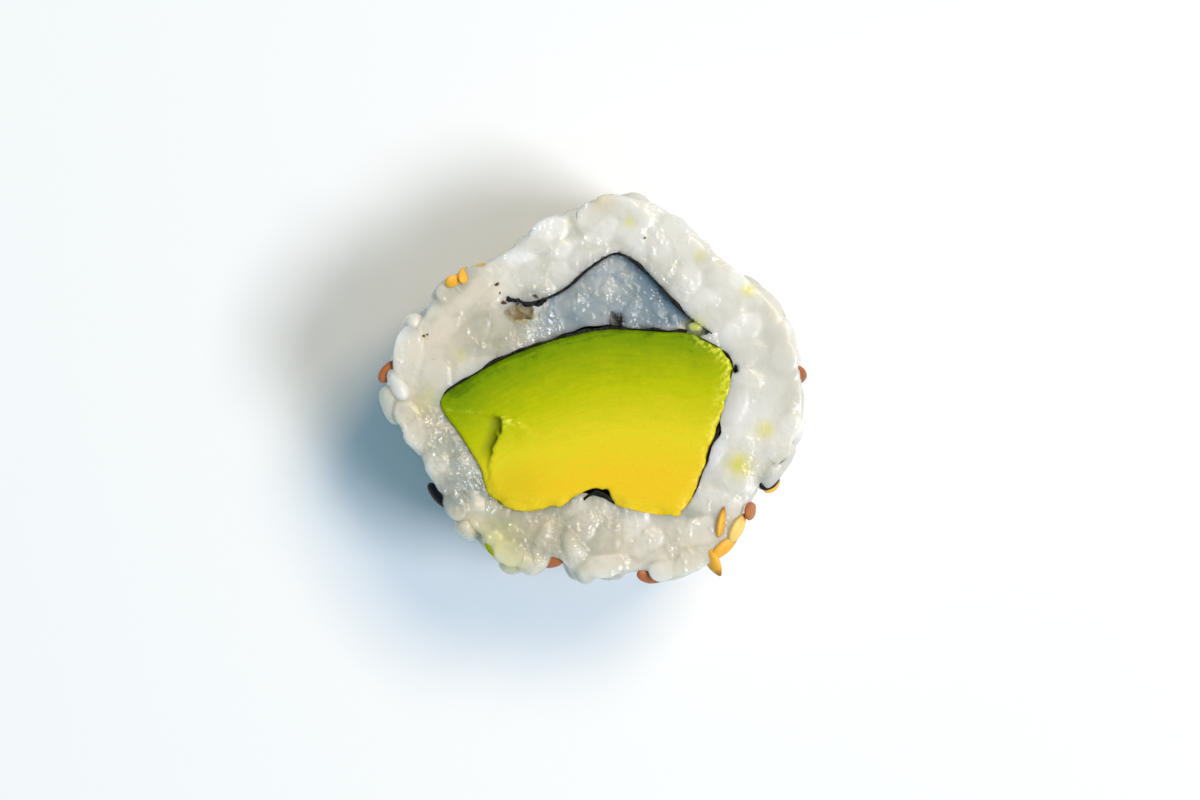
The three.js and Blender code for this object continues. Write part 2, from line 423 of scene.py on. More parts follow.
@dataclass(frozen=True)
class RiceFinish:
    """Moist sticky rice: translucent, each grain a little clearer or milkier than the next."""

    clear: Colour = srgb(154, 159, 151)
    plain: Colour = srgb(213, 208, 196)
    milky: Colour = srgb(238, 234, 229)
    seam: Colour = srgb(178, 172, 146)
    cream: Colour = srgb(217, 199, 163)
    smear: Colour = srgb(222, 214, 96)
    shaded: Colour = srgb(101, 131, 151)
    # Painted shade in the hollow at the lap's free end
    hollow_shade: Colour = srgb(166, 150, 108)
    # Painted shade in the small pits cut in the rice, partly standing for dark nori seen at the bottom of the
    # first
    pit_shade: Colour = srgb(34, 32, 28)
    tone: float = 0.55
    tint_share: float = 0.8
    blotch_mm: float = 1.6
    blotch_share: float = 0.6
    cream_floor: float = 0.5
    seam_share: float = 0.34
    shaded_floor: float = 0.6
    smear_mm: float = 0.8
    smear_gain: float = 1.8
    hollow_shade_mm: float = 0.6
    hollow_shade_floor: float = 0.45
    gloss_share: float = 0.25
    wet_mm: float = 2.0
    wet_stops: Place = (0.54, 0.68)
    moist_roughness: float = 0.26
    wet_roughness: float = 0.08
    lump_mm: float = 1.1
    lump_share: float = 0.3
    pore_mm: float = 0.5
    pore_share: float = 0.6
    relief_mm: float = 0.3
    translucency: float = 0.9
    glow: Place = (1.0, 0.97, 0.88)
    depth_mm: float = 3.2
    refraction: float = 1.42

    def material(self) -> bpy.types.Material:
        """Builds the finish."""
        graph = Graph("moist_rice")
        blotch = graph.noise(self.blotch_mm, detail=3.0)
        lively = 1.0 - graph.painted("calm") * CALMING
        uneven = (graph.painted("tint") - 0.5) * self.tint_share + (blotch - 0.5) * self.blotch_share
        # The painted clear value greys the rice: partly clearer rice, partly painted shade on the lower left,
        # away from the light
        tone = self.tone + uneven * lively - graph.painted("clear")
        colour = graph.ramp(tone, [(0.0, self.clear), (0.5, self.plain), (1.0, self.milky)])
        layers = (
            (graph.painted("cream") * (self.cream_floor + blotch), self.cream),
            (graph.painted("seam") * lively * self.seam_share, self.seam),
            (graph.painted("wedge") * (self.shaded_floor + blotch * (1.0 - self.shaded_floor)), self.shaded),
            (graph.painted("smear") * graph.noise(self.smear_mm, detail=3.0) * self.smear_gain, self.smear),
            # Painted shade inside the hollow, uneven with noise
            (graph.painted("hollow") * (self.hollow_shade_floor + graph.noise(self.hollow_shade_mm)), self.hollow_shade),
            # Painted shade in the pits
            (graph.painted("pit_shade"), self.pit_shade),
        )
        wet = graph.step(graph.noise(self.wet_mm) + graph.painted("gloss") * self.gloss_share, self.wet_stops)
        lumps = graph.noise(self.lump_mm, detail=1.0) * self.lump_share
        pores = graph.noise(self.pore_mm, detail=1.0) * wet * self.pore_share
        drop = self.moist_roughness - self.wet_roughness
        return graph.surface(
            {
                "Base Color": graph.layered(colour, layers),
                "Roughness": self.moist_roughness - wet * lively * drop,
                "Normal": graph.bump((lumps + pores) * lively, self.relief_mm),
                "Subsurface Weight": self.translucency,
                "Subsurface Radius": self.glow,
                "Subsurface Scale": self.depth_mm * MM,
                "IOR": self.refraction,
            }
        )


@dataclass(frozen=True)
class AvocadoFinish:
    """Cut avocado: green under the skin, yellow towards the stone, with fine fibres and a moist gloss."""

    skin: Colour = srgb(88, 117, 1)
    green: Colour = srgb(122, 149, 1)
    lime: Colour = srgb(184, 188, 2)
    yellow: Colour = srgb(224, 205, 35)
    stone: Colour = srgb(235, 197, 35)
    # Greener torn flesh on the sunk facet, laid on also as painted shade: strongest where the facet sinks
    # deepest by the flap's edge, and on the flap's lower part
    torn: Colour = srgb(164, 174, 2)
    shade: Colour = srgb(112, 118, 4)
    # Pale flecks at the ragged right and lower edges, partly pale chipped flesh and partly painted
    # highlights; also painted highlights on the flap's lifted lip and along the crease
    rim: Colour = srgb(234, 228, 74)
    ripe_stops: Place = (0.0, 0.06, 0.40, 0.72, 1.0)
    fibre_size: float = 0.35
    fibre_share: float = 0.16
    blotch_mm: float = 2.5
    blotch_share: float = 0.1
    mottle_mm: float = 0.7
    mottle_share: float = 0.12
    torn_share: float = 0.6
    fleck_mm: float = 0.45
    fleck_stops: Place = (0.46, 0.6)
    fleck_coat: float = 0.5
    coat_roughness: float = 0.15
    gloss_mm: float = 0.6
    roughness: Place = (0.34, 0.2)
    shine: float = 0.05
    pore_mm: float = 0.3
    relief_shares: Place = (0.6, 0.4)
    relief_mm: float = 0.08
    translucency: float = 0.3
    glow: Place = (0.9, 0.8, 0.2)
    depth_mm: float = 0.8

    def material(self) -> bpy.types.Material:
        """Builds the finish."""
        graph = Graph("cut_avocado")
        fibres = graph.noise(self.fibre_size, detail=4.0, at=graph.painted("fibre", "Vector"))
        patterns = (
            (fibres, self.fibre_share),
            (graph.noise(self.blotch_mm, detail=3.0), self.blotch_share),
            (graph.noise(self.mottle_mm, detail=3.0), self.mottle_share),
        )
        ripeness = graph.painted("ripeness")
        for pattern, share in patterns:
            ripeness = ripeness + (pattern - 0.5) * share
        greens = (self.skin, self.green, self.lime, self.yellow, self.stone)
        colour = graph.ramp(ripeness, list(zip(self.ripe_stops, greens)))
        # Rim flecks: partly paler chipped flesh, partly painted highlights; they also carry the coat
        flecks_and_highlights = graph.painted("rim") * graph.step(graph.noise(self.fleck_mm), self.fleck_stops)
        layers = (
            (graph.painted("torn") * self.torn_share, self.torn),
            (graph.painted("shade"), self.shade),
            (flecks_and_highlights, self.rim),
        )
        fibrous, porous = self.relief_shares
        smoothest, more = self.roughness
        return graph.surface(
            {
                "Base Color": graph.layered(colour, layers),
                "Roughness": smoothest + graph.noise(self.gloss_mm) * more,
                "Normal": graph.bump(fibres * fibrous + graph.noise(self.pore_mm) * porous, self.relief_mm),
                "Subsurface Weight": self.translucency,
                "Subsurface Radius": self.glow,
                "Subsurface Scale": self.depth_mm * MM,
                "Specular IOR Level": self.shine,
                "Coat Weight": flecks_and_highlights * self.fleck_coat,
                "Coat Roughness": self.coat_roughness,
            }
        )


@dataclass(frozen=True)
class NoriFinish:
    """Damp nori: almost black, with a fine fibrous grain."""

    name: str = "damp_nori"
    dark: Colour = srgb(7, 7, 5)
    light: Colour = srgb(26, 26, 17)
    grain_mm: float = 0.5
    roughness: Place = (0.55, 0.25)
    relief_mm: float = 0.08
    shine: float = 0.25

    def material(self) -> bpy.types.Material:
        """Builds the finish."""
        graph = Graph(self.name)
        grain = graph.noise(self.grain_mm, detail=4.0)
        smoothest, more = self.roughness
        return graph.surface(
            {
                "Base Color": graph.mix(grain, self.dark, self.light),
                "Roughness": smoothest + grain * more,
                "Normal": graph.bump(grain, self.relief_mm),
                "Specular IOR Level": self.shine,
            }
        )


@dataclass(frozen=True)
class SeedFinish:
    """Hulled or unhulled sesame: one colour on the flanks, a darker one at the tip."""

    name: str
    flank: Colour
    tip: Colour
    roughness: Place = (0.35, 0.2)
    shine: float = 0.5
    blotch_mm: float = 0.6
    blotch_share: float = 0.6
    pore_mm: float = 0.25
    relief_mm: float = 0.04
    translucency: float = 0.15
    glow: Place = (1.0, 0.6, 0.25)
    depth_mm: float = 0.4

    def material(self) -> bpy.types.Material:
        """Builds the finish."""
        graph = Graph(self.name)
        blotch = graph.noise(self.blotch_mm, detail=3.0)
        toast = graph.painted("tip") + (blotch - 0.5) * self.blotch_share
        smoothest, more = self.roughness
        return graph.surface(
            {
                "Base Color": graph.mix(toast, self.flank, self.tip),
                "Roughness": smoothest + blotch * more,
                "Normal": graph.bump(graph.noise(self.pore_mm, detail=3.0), self.relief_mm),
                "Specular IOR Level": self.shine,
                "Subsurface Weight": self.translucency,
                "Subsurface Radius": self.glow,
                "Subsurface Scale": self.depth_mm * MM,
            }
        )


@dataclass(frozen=True)
class FloorFinish:
    """A smooth white table top."""

    white: Colour = srgb(242, 242, 242)
    roughness: float = 0.6

    def material(self) -> bpy.types.Material:
        """Builds the finish."""
        graph = Graph("white_table")
        return graph.surface({"Base Color": self.white, "Roughness": self.roughness})


# Plan and bench


@dataclass
class RollPlan:
    """Sizes and outlines that the pieces share, in millimetres."""

    height: float = 25.0
    foot_taper: float = 0.024
    rim_tuck: float = 0.008
    tuck_power: float = 6.0
    nori_room: float = 0.26
    sheet_thickness: float = 0.2
    gap_limits: Place = (0.35, 1.7)
    gap_waves: Wave = (3.5, 21, 0.7)
    avocado_swell: float = 0.2
    wrap_short: float = 3.0 / 72.0
    rice_steps: int = 480
    avocado_steps: int = 288
    lap_steps: int = 136
    nori_steps: int = 640
    rice_controls: tuple[Place, ...] = (
        (21.9, 1.9), (20.9, 6.5), (17.9, 10.4), (11.7, 15.6), (9.2, 18.0), (5.4, 20.3), (0.7, 20.2),
        (-3.9, 18.5), (-10.1, 14.4), (-17.3, 10.0), (-21.2, 3.3), (-22.0, -0.8), (-18.7, -7.2),
        (-15.9, -11.6), (-12.9, -15.4), (-9.2, -18.1), (-4.8, -19.4), (-0.7, -20.0), (8.3, -19.5),
        (11.8, -18.1), (15.9, -12.4), (21.5, -4.6),
    )
    avocado_controls: tuple[Place, ...] = (
        (10.5, 5.5), (6.3, 5.95), (0.6, 6.1), (-4.6, 4.9), (-9.3, 3.15), (-12.9, 1.15), (-15.8, -1.2),
        (-13.7, -4.6), (-11.7, -7.9), (-11.15, -9.6), (-10.3, -11.1), (-8.4, -12.0), (-3.6, -11.7),
        (0.6, -11.2), (3.7, -12.1), (7.6, -12.7), (9.6, -11.6), (11.1, -8.0), (12.4, -4.1), (13.5, -0.4),
        (13.9, 3.0),
    )
    lap_controls: tuple[Place, ...] = (
        (12.0, 6.0), (9.7, 7.7), (6.9, 10.7), (4.2, 13.3), (2.1, 14.2), (-0.5, 12.7), (-2.8, 10.7),
        (-5.1, 9.5), (-7.0, 9.1), (-9.0, 9.5),
    )
    nori_sunk: tuple[Place, ...] = (
        (-15.9, -1.9, 1.5, 1.4), (-14.2, -4.0, 2.6, 1.4), (-12.0, -7.6, 2.6, 1.4),
        (-10.6, -10.8, 2.6, 1.4), (-7.0, -12.2, 2.6, 1.4), (-4.0, -12.0, 1.6, 1.2),
        (-2.4, -11.8, 1.3, 1.2), (4.5, -12.5, 2.2, 1.4), (8.0, -12.9, 2.4, 1.4), (13.9, 0.9, 2.0, 1.3),
        (13.2, -2.2, 2.0, 1.2), (10.5, 5.9, 1.6, 1.4), (11.7, 6.3, 1.3, 1.5),
    )
    nori_leans: tuple[Place, ...] = (
        (-0.5, 6.3, 3.2, 0.24), (12.7, -4.1, 0.8, 0.4), (-1.1, -11.4, 1.25, -1.15),
        (1.0, -11.3, 1.1, -0.55),
    )
    nori_thinned: tuple[Place, ...] = ((11.2, -8.6, 3.0, 0.7), (11.8, 6.2, 1.3, 1.2))
    rice: Array = field(init=False)
    avocado: Array = field(init=False)
    swollen: Array = field(init=False)
    lap: Array = field(init=False)
    nori: Array = field(init=False)
    wedge: Array = field(init=False)

    def __post_init__(self) -> None:
        """Works out the outlines from their control points."""
        self.rice = smooth_line(self.rice_controls, True, self.rice_steps)
        self.avocado = smooth_line(self.avocado_controls, True, self.avocado_steps)
        self.swollen = beside(self.avocado, self.avocado_swell, True)
        self.lap = smooth_line(self.lap_controls, False, self.lap_steps)
        room = self.nori_room / 2.0 * self.gap_share(self.avocado)
        wrap = beside(self.avocado, self.avocado_swell + room, True)
        wrap = wrap[: -round(self.wrap_short * len(wrap))]
        self.nori = evenly(np.vstack([wrap, self.lap]), self.nori_steps)
        skin = self.avocado[: np.argmin(np.abs(self.avocado[:, 0] - self.lap[-1, 0])) + 1]
        self.wedge = np.vstack([self.lap, skin[::-1]])

    def barrel(self, heights: Array) -> Array:
        """Share of the full width that the wall has at each height."""
        share = heights / self.height
        taper = self.foot_taper * (1.0 - share)
        return 1.0 - taper - self.rim_tuck * np.abs(2.0 * share - 1.0) ** self.tuck_power

    def near_top(self, points: Array, layer: Place) -> Array:
        """How far each point belongs to the upper face: 0 at a layer's first depth, 1 at its second."""
        deep, shallow = layer
        return ease(self.height - deep, self.height - shallow, points[:, 2])

    def gap_share(self, points: Array) -> Array:
        """How wide the nori's gap is at points of its line, as a share of the usual width."""
        uneven = 1.0 + waves([self.gap_waves], points) - spots(self.nori_thinned, points)
        return np.clip(uneven, *self.gap_limits)

    def wall(self, shares: Array, heights: Array) -> tuple[Array, Array, Array]:
        """Places on the wall.

        Args:
            shares: Where each place is along the outline, from 0 to 1.
            heights: How high each place is.

        Returns:
            The points, the directions along the wall and the directions out of it.
        """
        steps = np.arange(len(self.rice) + 1) / len(self.rice)
        flat, turns = (
            np.column_stack([np.interp(shares, steps, np.append(axis, axis[0])) for axis in rows.T])
            for rows in (self.rice, headings(self.rice, True))
        )
        along = unit(turns)
        points = np.column_stack([flat * self.barrel(heights)[:, None], heights])
        level = np.zeros(len(shares))
        out = np.column_stack([along[:, 1], -along[:, 0], level])
        return points, np.column_stack([along, level]), out

    def share_near(self, places: Array) -> Array:
        """Shares of the outline's length nearest to places seen from above."""
        gaps = np.linalg.norm(self.rice[None, :, :] - places[:, None, :2], axis=2)
        return gaps.argmin(axis=1) / len(self.rice)

    def origin(self) -> Array:
        """Where the plan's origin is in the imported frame, in millimetres."""
        low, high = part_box("avocado")
        middle = (np.array(low) + np.array(high))[:2] / 2.0 / MM
        outline = (self.avocado.min(axis=0) + self.avocado.max(axis=0)) / 2.0
        return np.array([*(middle - outline), 0.0])


class Bench:
    """Makes, reads and shapes meshes in the plan's millimetres."""

    smooth_degrees: float = 65.0
    soften_factor: float = 0.5

    def __init__(self, plan: RollPlan) -> None:
        """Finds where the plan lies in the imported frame."""
        self.origin = plan.origin()

    def to_frame(self, points: Array) -> Array:
        """Points of the plan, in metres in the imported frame."""
        return (points + self.origin) * MM

    def points(self, piece: Piece) -> Array:
        """The points of a mesh, in the plan's millimetres."""
        flat = np.empty(len(piece.data.vertices) * 3, np.float32)
        piece.data.vertices.foreach_get("co", flat)
        return flat.reshape(-1, 3).astype(float) / MM - self.origin

    def move(self, piece: Piece, points: Array) -> None:
        """Puts the points of a mesh in new places of the plan."""
        piece.data.vertices.foreach_set("co", self.to_frame(points).astype(np.float32).ravel())
        piece.data.update()

    def only(self, piece: Piece) -> None:
        """Selects one piece and nothing else."""
        bpy.ops.object.select_all(action="DESELECT")
        piece.select_set(True)
        bpy.context.view_layer.objects.active = piece

    def discard(self, piece: Piece) -> None:
        """Removes a helper piece."""
        bpy.data.objects.remove(piece, do_unlink=True)

    def mesh(self, name: str, points: Array, faces: Array) -> Piece:
        """Makes a mesh from arrays of points and faces."""
        data = bpy.data.meshes.new(name)
        data.from_pydata(self.to_frame(points).tolist(), [], faces.tolist())
        piece = bpy.data.objects.new(name, data)
        bpy.context.scene.collection.objects.link(piece)
        return piece

    def primitive(self, name: str, add: Callable[..., Any], **settings: Any) -> Piece:
        """Adds one of Blender's primitive meshes under a name."""
        bpy.ops.object.select_all(action="DESELECT")
        add(**settings)
        piece = bpy.context.active_object
        piece.name = name
        return piece

    def ball(self, subdivisions: int) -> tuple[Array, Array]:
        """Points and triangles of a unit ball."""
        settings = {"subdivisions": subdivisions, "radius": 1.0}
        ball = self.primitive("ball", bpy.ops.mesh.primitive_ico_sphere_add, **settings)
        points = np.array([vertex.co[:] for vertex in ball.data.vertices])
        faces = np.array([polygon.vertices[:] for polygon in ball.data.polygons])
        self.discard(ball)
        return unit(points), faces

    def extruded(self, name: str, outline: Array, low: float, high: float) -> Piece:
        """Raises a closed outline into an upright solid.

        Args:
            name: The piece's name.
            outline: The outline seen from above, counter-clockwise.
            low: Height of its lower face.
            high: Height of its upper face.

        Returns:
            The solid.
        """
        settings = {"vertices": len(outline), "radius": 1.0, "fill_type": "NGON"}
        piece = self.primitive(name, bpy.ops.mesh.primitive_circle_add, **settings)
        self.move(piece, np.column_stack([outline, np.full(len(outline), low)]))
        bpy.ops.object.mode_set(mode="EDIT")
        bpy.ops.mesh.select_all(action="SELECT")
        lift = {"value": (0.0, 0.0, (high - low) * MM)}
        bpy.ops.mesh.extrude_region_move(TRANSFORM_OT_translate=lift)
        bpy.ops.mesh.select_all(action="SELECT")
        bpy.ops.mesh.normals_make_consistent(inside=False)
        bpy.ops.object.mode_set(mode="OBJECT")
        return piece

    def modify(self, piece: Piece, kind: str, **settings: Any) -> None:
        """Adds a modifier with those settings and applies it."""
        self.only(piece)
        modifier = piece.modifiers.new(kind.title(), kind)
        for key, value in settings.items():
            setattr(modifier, key, value)
        bpy.ops.object.modifier_apply(modifier=modifier.name)

    def remesh(self, piece: Piece, voxel: float, soften: int) -> None:
        """Rebuilds a mesh as one closed skin of small faces and softens it that many times."""
        self.modify(piece, "REMESH", mode="VOXEL", voxel_size=voxel * MM)
        if soften:
            self.modify(piece, "SMOOTH", factor=self.soften_factor, iterations=soften)

    def weigh(self, piece: Piece, name: str, weights: Array) -> str:
        """Gives every point of a mesh a weight in a new vertex group, and returns the group's name."""
        group = piece.vertex_groups.new(name=name)
        for n, weight in enumerate(weights.tolist()):
            group.add([n], weight, "REPLACE")
        return name

    def crinkle(self, piece: Piece, layers: Sequence[Place], group: str = "") -> None:
        """Moves a surface in and out by soft noise.

        Args:
            piece: The mesh.
            layers: Sizes and strengths of the noise.
            group: The vertex group that says how much of it each point takes, or none for all of it.
        """
        for size, strength in layers:
            cloud = bpy.data.textures.new(f"{piece.name}_noise", "CLOUDS")
            cloud.noise_scale = size * MM
            settings = {"texture": cloud, "strength": strength * MM, "mid_level": 0.5, "vertex_group": group}
            self.modify(piece, "DISPLACE", **settings)

    def join(self, name: str, pieces: Sequence[Piece]) -> Piece:
        """Joins pieces into the first one."""
        self.only(pieces[0])
        for piece in pieces:
            piece.select_set(True)
        bpy.ops.object.join()
        pieces[0].name = name
        return pieces[0]

    def cut(self, piece: Piece, cutter: Piece) -> None:
        """Cuts a solid out of a piece and removes the cutter."""
        self.modify(piece, "BOOLEAN", object=cutter, operation="DIFFERENCE", solver="MANIFOLD")
        self.discard(cutter)

    def fuse(self, piece: Piece, other: Piece) -> None:
        """Fuses another solid onto a piece and removes that solid."""
        self.modify(piece, "BOOLEAN", object=other, operation="UNION", solver="MANIFOLD")
        self.discard(other)

    def triangles(self, piece: Piece) -> int:
        """How many triangles a mesh has."""
        return sum(len(polygon.vertices) - 2 for polygon in piece.data.polygons)

    def paint(self, piece: Piece, layers: dict[str, Array]) -> None:
        """Paints named values, or vectors, on every point of a mesh."""
        for label, values in layers.items():
            kind, key = ("FLOAT", "value") if values.ndim == 1 else ("FLOAT_VECTOR", "vector")
            attribute = piece.data.attributes.new(label, kind, "POINT")
            attribute.data.foreach_set(key, values.astype(np.float32).ravel())

    def skin(self, piece: Piece) -> BVHTree:
        """A piece's surface in the plan's millimetres, to find places on it."""
        points = [Vector(point) for point in self.points(piece)]
        return BVHTree.FromPolygons(points, [polygon.vertices[:] for polygon in piece.data.polygons])

    def hand_over(self, piece: Piece, material: bpy.types.Material, slot: str, node: str = "") -> Piece:
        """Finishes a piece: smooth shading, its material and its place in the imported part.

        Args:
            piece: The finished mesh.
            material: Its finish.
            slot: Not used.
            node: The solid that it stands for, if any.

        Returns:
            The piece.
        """
        self.only(piece)
        bpy.ops.object.shade_smooth_by_angle(angle=math.radians(self.smooth_degrees))
        piece.data.materials.clear()
        piece.data.materials.append(material)
        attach(piece, BODY)
        if node:
            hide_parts(node)
        return piece


# Rice


@dataclass
class Kernels:
    """Grains or seeds as bent ellipsoids, each with a frame of rows long, wide and out, and a tint."""

    centres: Array
    frames: Array
    halves: Array
    bends: Array
    tints: Array
    sharpness: float = 11.0
    bend_level: float = 0.33
    batch: int = 4000

    @staticmethod
    def laid(centres: Array, first: Array, out: Array, turn: Array, tilt: Array) -> tuple[Array, Array]:
        """Frames of kernels that lie on a surface.

        Args:
            centres: Their middles.
            first: The direction that a turn starts from, for each kernel or for all.
            out: The direction out of the surface, for each kernel or for all.
            turn: Turn about that direction, in radians.
            tilt: Lift of the long axis out of the surface, in radians.

        Returns:
            The centres and the frames.
        """
        side = np.cross(out, first)
        flat = first * np.cos(turn)[:, None] + side * np.sin(turn)[:, None]
        wide = np.cross(out, flat)
        long = flat * np.cos(tilt)[:, None] + out * np.sin(tilt)[:, None]
        return centres, np.stack([long, wide, np.cross(long, wide)], axis=1)

    def rolled(self, roll: Array) -> "Kernels":
        """The same kernels, rolled about their long axes by angles in radians."""
        long, wide, out = self.frames[:, 0], self.frames[:, 1], self.frames[:, 2]
        across = wide * np.cos(roll)[:, None] + out * np.sin(roll)[:, None]
        return replace(self, frames=np.stack([long, across, np.cross(long, across)], axis=1))

    def columns(self) -> tuple[Array, ...]:
        """The arrays that make the kernels, in their order."""
        return self.centres, self.frames, self.halves, self.bends, self.tints

    def part(self, rows: slice) -> "Kernels":
        """Some of the kernels."""
        return Kernels(*(values[rows] for values in self.columns()))

    @staticmethod
    def together(groups: Sequence["Kernels"]) -> "Kernels":
        """All kernels of several groups."""
        return Kernels(*map(np.concatenate, zip(*(group.columns() for group in groups))))

    @staticmethod
    def level(centres: Array, halves: Array, turn: Array, tilt: Array) -> "Kernels":
        """Straight, untinted kernels on a level face, turned and tilted by angles in radians."""
        laid = Kernels.laid(centres, RIGHT, UP, turn, tilt)
        return Kernels(*laid, halves, np.zeros(len(centres)), np.zeros(len(centres)))

    def arrays(self, points: Array, faces: Array) -> tuple[Array, Array]:
        """Points and faces of every kernel, shaped from one unit kernel."""
        count = len(self.centres)
        bent = np.repeat(points[None], count, axis=0)
        bent[:, :, 2] += self.bends[:, None] * (points[None, :, 0] ** 2 - self.bend_level)
        placed = np.einsum("nvi,nij->nvj", bent * self.halves[:, None, :], self.frames)
        placed += self.centres[:, None, :]
        offsets = np.arange(count)[:, None, None] * len(points)
        return placed.reshape(-1, 3), (faces[None] + offsets).reshape(-1, faces.shape[1])

    def blend(self, points: Array) -> tuple[Array, Array]:
        """The tint at each point, blended where kernels meet, and how clearly it is one kernel's.

        Args:
            points: The points to look at.

        Returns:
            The tint, and the lead that the point's kernel has over the next one.
        """
        tints = np.empty(len(points))
        leads = np.empty(len(points))
        scaled = np.transpose(self.frames, (0, 2, 1)) / self.halves[:, None, :]
        for start in range(0, len(points), self.batch):
            part = slice(start, start + self.batch)
            gaps = points[part][:, None, :] - self.centres[None]
            reach = np.linalg.norm(np.einsum("pni,nij->pnj", gaps, scaled), axis=2)
            best = np.partition(reach, 1, axis=1)
            shares = np.exp(self.sharpness * (best[:, :1] - reach))
            tints[part] = shares @ self.tints / shares.sum(axis=1)
            leads[part] = best[:, 1] - best[:, 0]
        return tints, leads


@dataclass
class Rice:
    """The rice: grains fused into one sticky mass, cut flat at both ends, with a pocket for the filling."""

    plan: RollPlan
    bench: Bench
    finish: RiceFinish
    grain: Place = (5.8, 2.9, 2.5)
    grain_spread: Place = (0.1, 0.07, 0.07)
    grain_limits: Place = (0.75, 1.25)
    bend_spread: float = 0.18
    tint_spread: Place = (2.0, 2.0)
    bluntness: float = 2.7
    wall_grains: int = 340
    wall_sink: Place = (0.15, 0.3, -0.2, 0.9)
    wall_tilt: float = 0.14
    face_tries: int = 230
    face_sink: Place = (-0.1, 0.4, -0.8, 0.6)
    face_tilt: float = 0.3
    face_clear: float = 1.5
    core_inset: float = 1.1
    core_sink: float = 0.42
    cut_inset: Place = (0.45, 2.6)
    cut_sink: float = 0.2
    cut_layer: float = 2.6
    voxel: float = 0.24
    soften: int = 5
    top_drop: float = 0.1
    top_waves: Wave = (9.0, 2, 0.1)
    top_softness: float = 0.12
    foot_softness: float = 0.2
    top_layer: Place = (3.0, 1.5)
    press_layer: Place = (4.5, 2.0)
    sag: float = 0.7
    sag_reach: float = 1.3
    sag_run_x: Place = (6.0, -4.0)
    sag_run_y: Place = (2.0, -6.0)
    lumps: tuple[Place, ...] = ((1.8, 0.24),)
    pits: tuple[Place, ...] = ((0.9, 0.09),)
    triangle_limit: int = 185000
    wedge_recess: float = 1.1
    wedge_fade: Place = (-8.0, -3.0)
    wedge_shade: Place = (0.72, 0.14)
    wedge_run: Place = (3.0, 9.0)
    wedge_tints: Place = (1.2, 0.45)
    crumbly_run: Place = (2.0, -14.0)
    seam_lead: Place = (0.3, 0.0)
    seam_shares: Place = (0.35, 0.65)
    seed: int = 11
    whole_grains: tuple[Place, ...] = (
        (-20.4, 0.57, 24.4, -57.0, 3.7, 1.8, 1.0), (-21.0, -1.5, 23.5, -70.0, 4.2, 2.4, 0.6),
        (-18.0, -1.3, 23.65, -70.0, 3.4, 2.4, 0.3), (-5.6, -15.6, 23.76, 63.0, 5.2, 2.6, 0.75),
        (-1.8, -17.3, 23.68, -68.0, 6.4, 2.8, 0.95), (2.2, -17.9, 23.6, 0.0, 4.6, 2.6, 0.55),
        (20.5, -2.5, 23.75, 80.0, 6.5, 2.4, 0.1), (18.9, -7.8, 24.0, 54.0, 6.0, 2.2, 0.05),
        (-2.2, 9.2, 22.68, 20.0, 4.2, 2.6, 0.6), (1.3, 10.9, 22.68, 80.0, 3.5, 2.6, 0.9),
        (4.0, 8.6, 22.68, 60.0, 3.4, 2.6, 0.35), (6.6, 8.4, 22.78, -60.0, 3.2, 2.4, 0.2),
        (8.3, 7.4, 23.05, 100.0, 2.2, 1.8, 0.15), (2.9, 11.9, 22.85, -30.0, 3.0, 2.2, 0.45),
        (10.45, 6.6, 24.2, 0.0, 1.6, 1.0, 0.4),
    )
    rim_grains: tuple[Place, ...] = (
        (-18.9, 6.6, 24.6, 5.2, 2.6, 0.8), (-13.1, -14.2, 24.6, 5.4, 2.8, 0.6),
        (-8.6, -18.0, 24.5, 5.0, 2.5, 0.5),
    )
    rim_turn: float = 0.25
    rim_lean: float = 0.6
    rim_band: Place = (4.5, 1.0)
    whole_bend: float = 0.1
    whole_shape: Place = (1.0, 1.0, 0.9)
    whole_clear: float = 2.2
    whole_turns: int = 3
    smears: tuple[Place, ...] = (
        (15.9, 10.4, 0.7, 0.78), (10.9, 13.9, 0.6, 0.4), (3.6, 17.4, 0.6, 0.55), (17.6, -4.1, 0.9, 0.75),
        (15.0, -7.7, 1.2, 1.0), (-13.9, 3.7, 0.7, 0.4), (-10.2, 4.3, 0.5, 0.15), (-17.0, -0.2, 1.0, 0.2),
        (16.9, 0.4, 0.8, 0.1), (1.4, 10.6, 0.9, 0.1), (-18.0, -1.4, 1.3, 0.2), (10.4, 6.6, 0.9, 1.0),
        (-10.0, -15.6, 2.2, 0.43), (-8.4, -18.4, 1.5, 0.33),
    )
    gloss_patches: tuple[Place, ...] = (
        (-13.5, -7.5, 3.5, 1.0), (-3.0, -13.5, 4.0, 1.0), (-6.5, 5.5, 3.0, 1.0), (-14.0, 4.5, 2.0, 1.0),
        (3.5, 9.5, 4.0, 1.0), (17.5, -6.5, 2.2, 1.0), (20.0, -2.0, 2.0, 1.0), (-8.5, 11.5, 2.0, 0.5),
    )
    calm_patches: tuple[Place, ...] = (
        (18.0, 3.0, 7.0, 1.0), (9.0, 16.5, 5.0, 0.6), (18.0, -5.0, 4.0, 0.5), (-16.5, 3.0, 4.5, 0.85),
    )
